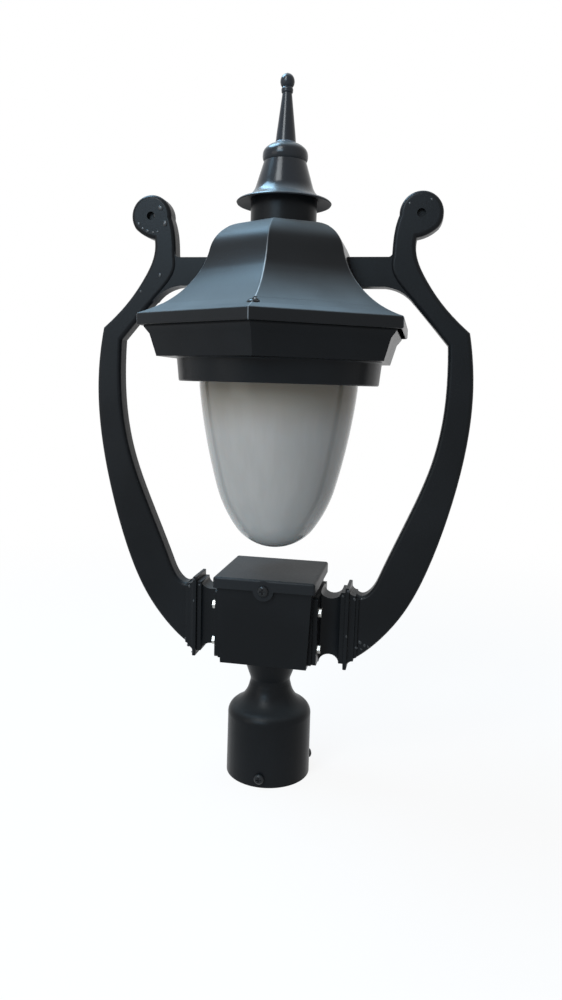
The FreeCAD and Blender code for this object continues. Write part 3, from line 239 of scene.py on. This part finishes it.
# ---------------------------------------------------------------------------------------------
# Finishes
# ---------------------------------------------------------------------------------------------
class Amount:
    """A number that runs through a finish's nodes. Arithmetic on it adds Math nodes."""

    def __init__(self, finish, socket):
        self.finish = finish
        self.socket = socket

    def math(self, operation, *values, clamp=False):
        made = self.finish.add("ShaderNodeMath", {"operation": operation, "use_clamp": clamp},
                               dict(enumerate(values)))
        return Amount(self.finish, made.outputs[0])

    def __add__(self, other):
        return self.math("ADD", self, other)

    def __radd__(self, other):
        return self.math("ADD", other, self)

    def __sub__(self, other):
        return self.math("SUBTRACT", self, other)

    def __mul__(self, other):
        return self.math("MULTIPLY", self, other)

    def __pow__(self, other):
        return self.math("POWER", self, other)

    def absolute(self):
        return self.math("ABSOLUTE", self)

    def clamped(self):
        return self.math("ADD", self, 0.0, clamp=True)

    def ramp(self, low, high, start=0.0, end=1.0):
        """Goes smoothly from start at low to end at high."""
        made = self.finish.add("ShaderNodeMapRange", {"interpolation_type": "SMOOTHSTEP"},
                               {0: self, 1: low, 2: high, 3: start, 4: end})
        return Amount(self.finish, made.outputs[0])


class Finish:
    """A material being made: one Principled shader and what feeds it."""

    def __init__(self, name, **sockets):
        self.material = bpy.data.materials.new(name)
        self.material.use_nodes = True
        self.tree = self.material.node_tree
        self.tree.nodes.clear()
        self.shader = self.add("ShaderNodeBsdfPrincipled", None, sockets)
        self.add("ShaderNodeOutputMaterial", None, {"Surface": self.shader.outputs[0]})
        self.place = self.add("ShaderNodeTexCoord").outputs["Object"]

    def add(self, kind, settings=None, sockets=None):
        """Adds a node with its settings, and fills its sockets."""
        made = self.tree.nodes.new(kind)
        for name, value in (settings or {}).items():
            setattr(made, name, value)
        for name, value in (sockets or {}).items():
            self.plug(made.inputs[name], value)
        return made

    def plug(self, socket, value):
        """Links a socket to what feeds it, or sets its number or colour."""
        if isinstance(value, Amount):
            self.tree.links.new(value.socket, socket)
        elif isinstance(value, bpy.types.NodeSocket):
            self.tree.links.new(value, socket)
        elif isinstance(value, (int, float)):
            socket.default_value = value
        else:
            value = tuple(value)
            wanted = len(socket.default_value)
            socket.default_value = (value + (1.0,))[:wanted]

    def set(self, **sockets):
        """Feeds the shader's own sockets."""
        for name, value in sockets.items():
            self.plug(self.shader.inputs[name.replace("_", " ")], value)

    def stretched(self, scale):
        """The place on the object, scaled apart along the axes."""
        made = self.add("ShaderNodeMapping", None, {"Vector": self.place, "Scale": scale})
        return made.outputs[0]

    def noise(self, scale, detail=2.0, roughness=0.5, stretch=None):
        """Soft noise, with scale swells to the metre."""
        place = self.stretched(stretch) if stretch else self.place
        made = self.add("ShaderNodeTexNoise", None, {"Vector": place, "Scale": scale, "Detail": detail,
                                                     "Roughness": roughness})
        return Amount(self, made.outputs[0])

    def cells(self, scale):
        """How far the nearest of many scattered points is, with scale points to the metre."""
        made = self.add("ShaderNodeTexVoronoi", None, {"Vector": self.place, "Scale": scale})
        return Amount(self, made.outputs["Distance"])

    def axis(self, letter):
        """The place along X, Y or Z in metres."""
        made = self.add("ShaderNodeSeparateXYZ", None, {0: self.place})
        return Amount(self, made.outputs[letter])

    def facing_up(self):
        """1 on a face that looks up, 0 on a wall, -1 on an underside."""
        normal = self.add("ShaderNodeNewGeometry").outputs["Normal"]
        return Amount(self, self.add("ShaderNodeSeparateXYZ", None, {0: normal}).outputs["Z"])

    def blend(self, amount, first, second):
        """The first colour where amount is 0, the second where it is 1."""
        made = self.add("ShaderNodeMix", {"data_type": "RGBA", "clamp_factor": True},
                        {0: amount, 6: first, 7: second})
        return made.outputs[2]

    def raised(self, height, distance, strength, under=None):
        """A normal bent by a height of up to distance, over another one."""
        sockets = {"Height": height, "Distance": distance, "Strength": strength}
        if under is not None:
            sockets["Normal"] = under
        return self.add("ShaderNodeBump", None, sockets).outputs[0]


def times(colour, factor):
    """A colour made lighter or darker."""
    return tuple(value * factor for value in colour)


def painted(name, colour, roughness, specular, grain=1.0, dust_and_sheen=1.0, seam=False, hips=False):
    """Satin paint over a sand casting: soft grain, brush-fine unevenness, dust and a painted sheen on what
    looks up.
    """
    made = Finish(name, **{"Specular IOR Level": specular})
    broad = made.noise(9.0, 3.0)
    fine = made.noise(420.0, 3.0, 0.6)
    grit = made.noise(1500.0, 2.0, 0.7)
    pits = made.cells(260.0).ramp(0.0, 0.16, 1.0, 0.0) * made.noise(60.0, 2.0).ramp(0.56, 0.66)
    base = made.blend(broad.ramp(0.35, 0.7), colour, times(colour, 1.45))
    clouds = made.noise(16.0, 3.0, 0.5).ramp(0.2, 0.8, 0.55, 1.0)
    # Dust and a painted sheen: faces that look up are lightened towards the bluish dust colour, most on
    # the roof's flare.
    dust_and_sheen_mask = (made.facing_up().ramp(0.40, 0.95) * clouds * (0.10 * dust_and_sheen)).clamped()
    base = made.blend(dust_and_sheen_mask, base, colours().dust_and_sheen)
    # Rubbed paint and a painted highlight along the roof's hips.
    if hips:
        base = made.blend(hip_wear_and_highlight_mask(made), base, colours().hip_wear_and_highlight)
    scuffs = made.noise(70.0, 5.0, 0.7, stretch=(1.0, 1.0, 0.25)).ramp(0.60, 0.78)
    rough = roughness + (fine - 0.5) * 0.10 + (broad - 0.5) * 0.10 + dust_and_sheen_mask * 0.9 + scuffs * 0.08
    normal = made.raised(fine, 0.00011 * grain, 0.55)
    normal = made.raised(grit, 0.00004 * grain, 0.5, normal)
    normal = made.raised(pits * -1.0, 0.00022 * grain, 0.6, normal)
    if seam:
        ridge = made.axis("Y").absolute().ramp(0.00015, 0.00055, 1.0, 0.0)
        normal = made.raised(ridge * made.noise(30.0).ramp(0.3, 0.6), 0.00012, 0.7, normal)
    made.set(Base_Color=base, Roughness=rough.clamped(), Normal=normal)
    return made.material


def hip_wear_and_highlight_mask(made):
    """Where the paint is rubbed along the six hips, with a painted highlight: most on the front one and
    low on the flare, broken up by noise.
    """
    across, along = made.axis("X"), made.axis("Y")
    radius = (across * across + along * along) ** 0.5
    angle = along.math("ARCTAN2", along, across) * 3.0 + 1.5 * math.pi
    off_hip = angle.math("SINE", angle).absolute() * radius * (1 / 3)
    wander = made.noise(60.0, 4.0, 0.7)
    line = (off_hip - wander * 0.0008 + 0.0004).ramp(0.0001, 0.0007, 1.0, 0.0)
    broken = made.noise(26.0, 4.0, 0.65).ramp(0.30, 0.55, 0.35, 1.0)
    height = made.axis("Z")
    brim = node_bounds("roof")[0].z
    # Strongest low on the roof's flare, where the painted highlight is brightest, weaker up towards the
    # top.
    curve = (height.ramp(brim + 10 * MM, brim + 24 * MM, 0.35, 1.0)
             * height.ramp(brim + 48 * MM, brim + 78 * MM, 1.0, 0.22))
    # Strongest on the front hips, the side towards the camera, as a painted highlight.
    front = along.ramp(-55 * MM, -35 * MM, 1.0, 0.30)
    return (line * broken * curve * front).clamped()


def glossy(name, colour, roughness):
    """Gloss paint with hardly any grain, dust and a painted sheen on what looks up, and a duller
    underside.
    """
    made = Finish(name, **{"Specular IOR Level": 0.26})
    broad = made.noise(22.0, 3.0)
    peel = made.noise(620.0, 2.0)
    base = made.blend(broad.ramp(0.35, 0.7), colour, times(colour, 1.5))
    # Dust and a painted sheen: faces that look up are lightened towards the bluish dust colour.
    dust_and_sheen_mask = made.facing_up().ramp(0.3, 0.9) * made.noise(24.0, 4.0, 0.6).ramp(0.2, 0.75, 0.5, 1.0) * 0.55
    base = made.blend(dust_and_sheen_mask, base, colours().dust_and_sheen)
    under = made.facing_up().ramp(-0.15, -0.6) * 0.35
    rough = roughness + (broad - 0.5) * 0.12 + dust_and_sheen_mask * 0.15 + under
    made.set(Base_Color=base, Roughness=rough.clamped(), Normal=made.raised(peel, 0.00005, 0.5))
    return made.material


def opal():
    """Opal plastic: milky grey with faint drawn streaks, painted shade, browner, by the gallery and
    painted light at the tip.
    """
    made = Finish("opal_plastic", **{"Specular IOR Level": 0.16, "Subsurface Weight": 0.10,
                                     "Subsurface Scale": 0.004})
    height = made.axis("Z")
    tip, rim = (corner.z for corner in node_bounds("bowl"))
    grey = colours().opal
    streaks = made.noise(70.0, 3.0, 0.6, stretch=(1.0, 1.0, 0.04)).ramp(0.35, 0.65)
    cloud = made.noise(14.0, 3.0)
    base = made.blend(streaks * 0.45, grey, times(grey, 1.13))
    base = made.blend(cloud.ramp(0.45, 0.75) * 0.35, base, times(grey, 0.92))
    # Painted shade: browner towards the rim, under the gallery.
    shade = (height + (cloud - 0.5) * 0.016).ramp(rim - 59.5 * MM, rim - 11.5 * MM)
    base = made.blend(shade, base, colours().opal_rim)
    # Painted light: lighter towards the tip.
    lit = height.ramp(tip + 8.5 * MM, tip + 50.5 * MM, 0.60, 0.0)
    base = made.blend(lit, base, times(grey, 1.18))
    specks = made.cells(140.0).ramp(0.02, 0.06, 1.0, 0.0) * made.noise(22.0).ramp(0.6, 0.7)
    base = made.blend(specks * 0.25, base, (0.12, 0.11, 0.095))
    rough = 0.10 + (made.noise(90.0, 4.0) - 0.5) * 0.05 + streaks * 0.02
    normal = made.raised(made.noise(26.0, 2.0, 0.4), 0.00012, 0.25)
    normal = made.raised(made.noise(800.0, 2.0), 0.00002, 0.20, normal)
    made.set(Base_Color=base, Roughness=rough.clamped(), Normal=normal)
    return made.material


def plated(name, colour, roughness, tarnish):
    """Plated or bare metal with turned lines, stains and a duller grain."""
    made = Finish(name, Metallic=1.0)
    stain = made.noise(160.0, 5.0, 0.65).ramp(0.42, 0.72)
    lines = made.noise(1400.0, 2.0, 0.5, stretch=(1.0, 1.0, 0.2))
    base = made.blend(stain * tarnish, colour, times(colour, 0.45))
    rough = roughness + (lines - 0.5) * 0.15 + stain * 0.20
    made.set(Base_Color=base, Roughness=rough.clamped(), Normal=made.raised(lines, 0.00003, 0.5))
    return made.material


def plain(name, colour, roughness, grain_scale, grain_depth, specular=0.5):
    """Rubber, moulded plastic or porcelain with its own fine grain and slight unevenness."""
    made = Finish(name, **{"Specular IOR Level": specular})
    broad = made.noise(40.0, 3.0)
    grain = made.noise(grain_scale, 3.0, 0.6)
    base = made.blend(broad.ramp(0.3, 0.75), colour, times(colour, 0.82))
    made.set(Base_Color=base, Roughness=(roughness + (grain - 0.5) * 0.15).clamped(),
             Normal=made.raised(grain, grain_depth, 0.5))
    return made.material


FINISHES = {}


def make_finishes():
    """One finish for each material slot of the part, and those that only dressed pieces wear."""
    shades = colours()
    FINISHES.update({
        "cast_black": painted("cast_paint", shades.paint, 0.32, 0.085, dust_and_sheen=1.6, seam=True),
        "wet_black": painted("bead_paint", times(shades.paint, 2.4), 0.30, 0.36, 0.3),
        # The run is the finial's gloss paint made nine times lighter: a painted highlight on its lumps.
        "gloss_run": painted("run_paint", times(shades.gloss, 9.0), 0.18, 0.60, 0.3),
        # The roof: a large dust factor paints a sheen on its flare, and its hips get rubbed paint with a
        # painted highlight.
        "roof_black": painted("roof_paint", shades.paint, 0.30, 0.13, dust_and_sheen=7.5, hips=True),
        "lid_black": painted("lid_paint", times(shades.paint, 1.6), 0.40, 0.10, grain=0.6, dust_and_sheen=1.4),
        "screw_black": painted("screw_paint", times(shades.paint, 1.3), 0.30, 0.20, grain=0.5, dust_and_sheen=0.5),
        "gloss_black": glossy("finial_gloss", shades.gloss, 0.22),
        "zinc": plated("zinc_plate", shades.zinc, 0.30, 0.7),
        "brass": plated("brass", shades.brass, 0.26, 0.25),
        "aluminium_cap": plated("aluminium", (0.76, 0.76, 0.77), 0.28, 0.15),
        "rubber": plain("gasket_rubber", (0.018, 0.018, 0.018), 0.72, 700.0, 0.00006, 0.3),
        "white_plastic": plain("terminal_plastic", (0.72, 0.71, 0.68), 0.42, 900.0, 0.00003),
        "porcelain": plain("glazed_porcelain", (0.80, 0.79, 0.76), 0.16, 300.0, 0.00002),
        "bulb": plain("frosted_bulb", (0.82, 0.82, 0.80), 0.38, 1200.0, 0.00001),
        "opal": opal(),
    })


# ---------------------------------------------------------------------------------------------
# Pieces
# ---------------------------------------------------------------------------------------------
def drop(label, radius, seed):
    """A set drop of paint: a ball pressed flat against the face it sits on, and a little uneven."""
    bpy.ops.mesh.primitive_ico_sphere_add(subdivisions=3, radius=radius, location=(0, 0, 0))
    bead = bpy.context.object
    bead.name = label
    bead.data.name = label
    with Editing(bead) as bench:
        bench.pick(lambda point: point.co.z < -0.25 * radius)
        bpy.ops.transform.resize(value=(1.18, 1.18, 0.3))
        bench.pick()
        bpy.ops.transform.vertex_random(offset=radius * 0.10, seed=seed)
        bpy.ops.mesh.vertices_smooth(factor=0.5, repeat=2)
        bpy.ops.transform.resize(value=(1.0, 1.3, 0.42))
    smooth(bead, 60.0)
    return bead


def stood(piece, place, outward, spin):
    """Spins a piece about +Z, turns it to look outward, and puts it in its place."""
    turn = Vector(outward).normalized().to_track_quat("Z", "Y").to_matrix().to_4x4()
    piece.data.transform(Matrix.Translation(Vector(place)) @ turn @ Matrix.Rotation(spin, 4, "Z"))
    piece.data.update()
    return piece


def joined(label, pieces):
    """Several pieces made one object."""
    clear_selection()
    for piece in pieces:
        piece.select_set(True)
    bpy.context.view_layer.objects.active = pieces[0]
    bpy.ops.object.join()
    whole = bpy.context.object
    whole.name = label
    whole.data.name = label
    return whole


def surface_under(piece, start, direction):
    """Where a straight look from start first meets a piece, and the face's normal there."""
    hit, spot, normal, _ = piece.ray_cast(Vector(start), Vector(direction).normalized())
    if not hit:
        raise RuntimeError("nothing of %s lies that way from %s" % (piece.name, tuple(start)))
    return spot, normal


def node_bounds(name):
    """The least and the greatest corner of a node."""
    corners = [vert.co for vert in NODES[name].data.vertices]
    return (Vector([min(corner[axis] for corner in corners) for axis in range(3)]),
            Vector([max(corner[axis] for corner in corners) for axis in range(3)]))


IN_FRONT = -0.3         # along Y, well in front of the lantern

# Each bead: across and up in millimetres on the arm's front, size against the full bead, degrees turned.
PAINT_BEADS = {
    "left_arm": [(-126.2, 561.7, 1.35, 20), (-119.6, 567.0, 0.95, 60), (-114.9, 552.6, 1.05, -10),
                 (-141.5, 552.5, 0.60, 40), (-137.6, 548.2, 0.55, 70), (-132.6, 545.6, 0.70, 85),
                 (-127.0, 544.4, 0.50, 95), (-122.4, 545.0, 0.45, 110), (-119.6, 504.0, 0.70, 0),
                 (-139.4, 488.5, 0.50, 30), (-88.8, 137.6, 0.55, 0), (-85.4, 131.0, 0.45, 50),
                 (-79.0, 203.0, 0.60, 90), (-73.6, 197.0, 0.50, 75), (-84.6, 194.4, 0.60, 30),
                 (-78.6, 180.5, 0.40, 0), (-79.2, 126.0, 0.45, 90)],
    "right_arm": [(138.0, 571.5, 0.50, 15), (118.6, 568.4, 0.45, -30), (91.8, 149.6, 0.75, 40),
                  (96.6, 146.8, 0.60, 0), (88.6, 144.4, 0.55, 80), (100.4, 145.4, 0.50, 20),
                  (93.6, 142.6, 0.40, 60), (79.0, 203.0, 0.60, 90), (73.6, 197.0, 0.50, 85),
                  (85.0, 194.4, 0.60, 25), (91.6, 194.2, 0.45, 60), (78.8, 157.0, 0.50, 0)],
}


class LANTERN_OT_castings(bpy.types.Operator):
    """Make the roof, the arms, the gallery, the collar and the junction box"""
    bl_idname = "lantern.castings"
    bl_label = "Castings"

    def execute(self, context):
        dressed("roof", FINISHES["roof_black"], sizes().hip, segments=3, clamp=False)
        for name in ("left_arm", "right_arm", "gallery", "fitter_collar", "junction_box"):
            dressed(name, FINISHES["cast_black"], sizes().edge)
        return {"FINISHED"}


class LANTERN_OT_finial(bpy.types.Operator):
    """Make the finial: neck, hat, cushion and spire"""
    bl_idname = "lantern.finial"
    bl_label = "Finial"

    def execute(self, context):
        dressed("finial_neck", FINISHES["cast_black"], sizes().edge)
        for name in ("finial_hat", "finial_cushion", "finial_spire"):
            dressed(name, FINISHES["gloss_black"])
        return {"FINISHED"}


class LANTERN_OT_lid(bpy.types.Operator):
    """Make the lid of the junction box and its gasket"""
    bl_idname = "lantern.lid"
    bl_label = "Lid"

    def execute(self, context):
        dressed("box_lid", FINISHES["lid_black"], sizes().small_edge)
        dressed("lid_gasket", FINISHES["rubber"], sizes().small_edge)
        return {"FINISHED"}


class LANTERN_OT_bowl(bpy.types.Operator):
    """Make the opal bowl with its gasket and clamp ring, and the gasket under the roof's brim"""
    bl_idname = "lantern.bowl"
    bl_label = "Bowl"

    def execute(self, context):
        dressed("bowl", FINISHES["opal"])
        dressed("bowl_gasket", FINISHES["rubber"], sizes().small_edge)
        dressed("brim_gasket", FINISHES["rubber"], sizes().small_edge)
        dressed("bowl_clamp_ring", FINISHES["zinc"], sizes().small_edge)
        return {"FINISHED"}


class LANTERN_OT_fasteners(bpy.types.Operator):
    """Make the set screws, the lid's and the roof's screws, and the zinc plated bolts and nuts"""
    bl_idname = "lantern.fasteners"
    bl_label = "Fasteners"

    def execute(self, context):
        small = sizes().small_edge
        for name in ("set_screw_front", "set_screw_left", "set_screw_right", "lid_screw", "roof_screws"):
            dressed(name, FINISHES["screw_black"], small)
        for name in ("foot_bolts_left", "foot_bolts_right", "foot_nuts", "bracket_bolts",
                     "nipple_nut_lower", "nipple_nut_upper", "tie_rod_nut"):
            dressed(name, FINISHES["zinc"], small)
        return {"FINISHED"}


class LANTERN_OT_paint_beads(bpy.types.Operator):
    """Set beads of paint on the arms' scrolls and feet, and a lumpy run under the spire"""
    bl_idname = "lantern.paint_beads"
    bl_label = "Beads of paint"

    def execute(self, context):
        bead = sizes().bead
        for number, (arm, spots) in enumerate(PAINT_BEADS.items()):
            beads = []
            for count, (across, height, size, spin) in enumerate(spots):
                seat, outward = surface_under(bpy.data.objects[arm + "_dressed"],
                                              (across * MM, IN_FRONT, height * MM), (0, 1, 0))
                made = drop("%s_bead_%d" % (arm, count), bead * size, 7 * number + count + 1)
                beads.append(stood(made, seat, outward, math.radians(spin)))
            fit(joined(arm + "_paint_beads", beads), "mast", FINISHES["wet_black"])
        self.run_under_spire()
        return {"FINISHED"}

    def run_under_spire(self):
        """The run: a ring lying in the corner between spire and cushion, swollen here and there."""
        low, high = node_bounds("finial_spire")
        run = sizes().run
        bpy.ops.mesh.primitive_torus_add(major_segments=56, minor_segments=12, major_radius=high.x,
                                         minor_radius=run, location=(0, 0, 0))
        ring = bpy.context.object
        ring.name = "spire_paint_run"
        ring.data.name = ring.name
        with Editing(ring) as bench:
            bench.pick()
            bpy.ops.transform.vertex_random(offset=run * 1.1, seed=11)
            bpy.ops.mesh.vertices_smooth(factor=0.5, repeat=4)
            bpy.ops.transform.translate(value=(0, 0, low.z + 0.3 * run))
        smooth(ring, 60.0)
        fit(ring, NODES["finial_spire"]["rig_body"], FINISHES["gloss_run"])


class LANTERN_OT_remaining_nodes(bpy.types.Operator):
    """Give every part that is shown as it was made its finish"""
    bl_idname = "lantern.remaining_nodes"
    bl_label = "Inner parts"

    def execute(self, context):
        for name, node in NODES.items():
            if not node.hide_render:
                node.data.materials.clear()
                node.data.materials.append(FINISHES[SLOT_OF[name]])
        return {"FINISHED"}


# ---------------------------------------------------------------------------------------------
# Stage
# ---------------------------------------------------------------------------------------------
CAMERA_PLACE = (0.14214, -0.74160, 0.400)
CAMERA_YAW = math.radians(10.85)        # round the lantern, from its front towards +X
CAMERA_PITCH = math.radians(8.52)       # down from level
CAMERA_ROLL = math.radians(1.71)
CAMERA_ASIDE = math.radians(-0.34)      # turned off the lantern's axis
CAMERA_LENS = 27.31                     # millimetres, on a sensor 36 mm long
CAMERA_SHIFT = 0.0011                   # sideways, as a share of the sensor
FLOOR_SIZE = 8.0
FLOOR_DROP = 0.3 * MM                   # keeps the floor clear of the collar's mouth
FLOOR_GLOW = (0.25, 1.4, 0.90, 1.0)     # between these two distances it goes from 0.90 to full white
ROOM_LIGHT = 0.26                       # strength of the surround as a light


def seen_directly(add, link_to):
    """A factor that is 1 for camera, glossy and transmission rays."""
    path = add("ShaderNodeLightPath")
    factor = path.outputs["Is Camera Ray"]
    for ray in ("Is Glossy Ray", "Is Transmission Ray"):
        either = add("ShaderNodeMath")
        either.operation = "MAXIMUM"
        link_to(factor, either.inputs[0])
        link_to(path.outputs[ray], either.inputs[1])
        factor = either.outputs[0]
    return factor


def softbox(label, place, target, width, height, watts, colour):
    """A rectangular light at a place, that looks at a target."""
    light = bpy.data.lights.new(label, "AREA")
    light.shape = "RECTANGLE"
    light.size = width
    light.size_y = height
    light.energy = watts
    light.color = colour
    box = bpy.data.objects.new(label, light)
    box.location = place
    box.rotation_mode = "QUATERNION"
    box.rotation_quaternion = (Vector(target) - Vector(place)).to_track_quat("-Z", "Y")
    bpy.context.scene.collection.objects.link(box)


def make_camera():
    """The camera, pointed by its yaw, pitch and roll."""
    right_turn = Matrix.Rotation(CAMERA_ASIDE, 3, "Z")
    forward = right_turn @ Vector((-math.sin(CAMERA_YAW) * math.cos(CAMERA_PITCH),
                                   math.cos(CAMERA_YAW) * math.cos(CAMERA_PITCH),
                                   -math.sin(CAMERA_PITCH)))
    right = forward.cross(Vector((0, 0, 1))).normalized()
    up = right.cross(forward)
    level, tilt = math.cos(CAMERA_ROLL), math.sin(CAMERA_ROLL)
    across = right * level + up * tilt
    upright = up * level - right * tilt
    lens = bpy.data.cameras.new("camera")
    lens.sensor_fit = "AUTO"
    lens.sensor_width = 36.0
    lens.lens = CAMERA_LENS
    lens.shift_x = CAMERA_SHIFT
    lens.clip_start = 0.01
    lens.clip_end = 50.0
    camera = bpy.data.objects.new("camera", lens)
    turn = Matrix((across, upright, -forward)).transposed()
    camera.matrix_world = Matrix.Translation(Vector(CAMERA_PLACE)) @ turn.to_4x4()
    bpy.context.scene.collection.objects.link(camera)
    bpy.context.scene.camera = camera


def make_floor():
    """A pale matt floor that looks white, and still takes the lantern's shadow."""
    clear_selection()
    bpy.ops.mesh.primitive_plane_add(size=FLOOR_SIZE, location=(0, 0, -FLOOR_DROP))
    floor = bpy.context.object
    floor.name = "studio_floor"
    material = bpy.data.materials.new("studio_floor")
    material.use_nodes = True
    tree = material.node_tree
    tree.nodes.clear()
    add, link_to = tree.nodes.new, tree.links.new
    matt = add("ShaderNodeBsdfDiffuse")
    matt.inputs["Color"].default_value = (*colours().floor, 1.0)
    glow = add("ShaderNodeEmission")
    glow.inputs["Color"].default_value = (1.0, 1.0, 1.0, 1.0)
    glow.inputs["Strength"].default_value = 1.0
    away = add("ShaderNodeVectorMath")
    away.operation = "LENGTH"
    link_to(add("ShaderNodeTexCoord").outputs["Object"], away.inputs[0])
    whiter = add("ShaderNodeMapRange")
    whiter.interpolation_type = "SMOOTHSTEP"
    for socket, value in enumerate(FLOOR_GLOW, start=1):
        whiter.inputs[socket].default_value = value
    link_to(away.outputs["Value"], whiter.inputs[0])
    share = add("ShaderNodeMath")
    share.operation = "MULTIPLY"
    link_to(seen_directly(add, link_to), share.inputs[0])
    link_to(whiter.outputs[0], share.inputs[1])
    mixed = add("ShaderNodeMixShader")
    link_to(share.outputs[0], mixed.inputs[0])
    link_to(matt.outputs[0], mixed.inputs[1])
    link_to(glow.outputs[0], mixed.inputs[2])
    link_to(mixed.outputs[0], add("ShaderNodeOutputMaterial").inputs["Surface"])
    floor.data.materials.append(material)


def make_world():
    """A white surround that lights the lantern only dimly."""
    world = bpy.data.worlds.new("studio")
    bpy.context.scene.world = world
    world.use_nodes = True
    tree = world.node_tree
    tree.nodes.clear()
    add, link_to = tree.nodes.new, tree.links.new
    dim = add("ShaderNodeBackground")
    dim.inputs["Color"].default_value = (1.0, 0.99, 0.97, 1.0)
    dim.inputs["Strength"].default_value = ROOM_LIGHT
    white = add("ShaderNodeBackground")
    white.inputs["Color"].default_value = (1.0, 1.0, 1.0, 1.0)
    white.inputs["Strength"].default_value = 1.0
    mixed = add("ShaderNodeMixShader")
    link_to(seen_directly(add, link_to), mixed.inputs[0])
    link_to(dim.outputs[0], mixed.inputs[1])
    link_to(white.outputs[0], mixed.inputs[2])
    link_to(mixed.outputs[0], add("ShaderNodeOutputWorld").inputs["Surface"])


class LANTERN_OT_stage(bpy.types.Operator):
    """Set out the pale floor, the soft lights, the white surround and the camera"""
    bl_idname = "lantern.stage"
    bl_label = "Stage"

    def execute(self, context):
        make_camera()
        make_floor()
        make_world()
        softbox("key", (-0.38, -1.00, 1.35), (0, 0, 0.52), 0.42, 0.7, 12.0, (0.92, 0.97, 1.0))
        softbox("top", (-0.60, 0.10, 1.58), (0, 0, 0.50), 0.8, 0.55, 28.0, (0.42, 0.73, 1.0))
        softbox("window", (-0.75, -2.25, 1.25), (0, 0, 0.55), 1.2, 0.75, 25.0, (0.54, 0.79, 1.0))
        softbox("fill", (-1.1, -1.1, 0.55), (0, 0, 0.35), 0.8, 1.0, 3.6, (1.0, 0.95, 0.88))
        bpy.context.scene.view_settings.view_transform = "Standard"
        return {"FINISHED"}


class LANTERN_PT_sidebar(bpy.types.Panel):
    """The lantern's operators and settings"""
    bl_idname = "LANTERN_PT_sidebar"
    bl_label = "Post top lantern"
    bl_space_type = "VIEW_3D"
    bl_region_type = "UI"
    bl_category = "Lantern"

    def draw(self, context):
        for group in (context.scene.lantern_colours, context.scene.lantern_sizes):
            column = self.layout.column(align=True)
            for name in group.__class__.__annotations__:
                column.prop(group, name)
        for operator in OPERATORS:
            self.layout.operator(operator.bl_idname)


OPERATORS = (LANTERN_OT_castings, LANTERN_OT_finial, LANTERN_OT_lid, LANTERN_OT_bowl,
             LANTERN_OT_fasteners, LANTERN_OT_paint_beads, LANTERN_OT_remaining_nodes, LANTERN_OT_stage)
CLASSES = (LanternColours, LanternSizes) + OPERATORS + (LANTERN_PT_sidebar,)


def register():
    for item in CLASSES:
        bpy.utils.register_class(item)
    bpy.types.Scene.lantern_colours = PointerProperty(type=LanternColours)
    bpy.types.Scene.lantern_sizes = PointerProperty(type=LanternSizes)


def unregister():
    del bpy.types.Scene.lantern_sizes
    del bpy.types.Scene.lantern_colours
    for item in reversed(CLASSES):
        bpy.utils.unregister_class(item)


def main():
    register()
    make_finishes()
    for operator in OPERATORS:
        family, name = operator.bl_idname.split(".")
        getattr(getattr(bpy.ops, family), name)()


if __name__ == "__main__":
    main()
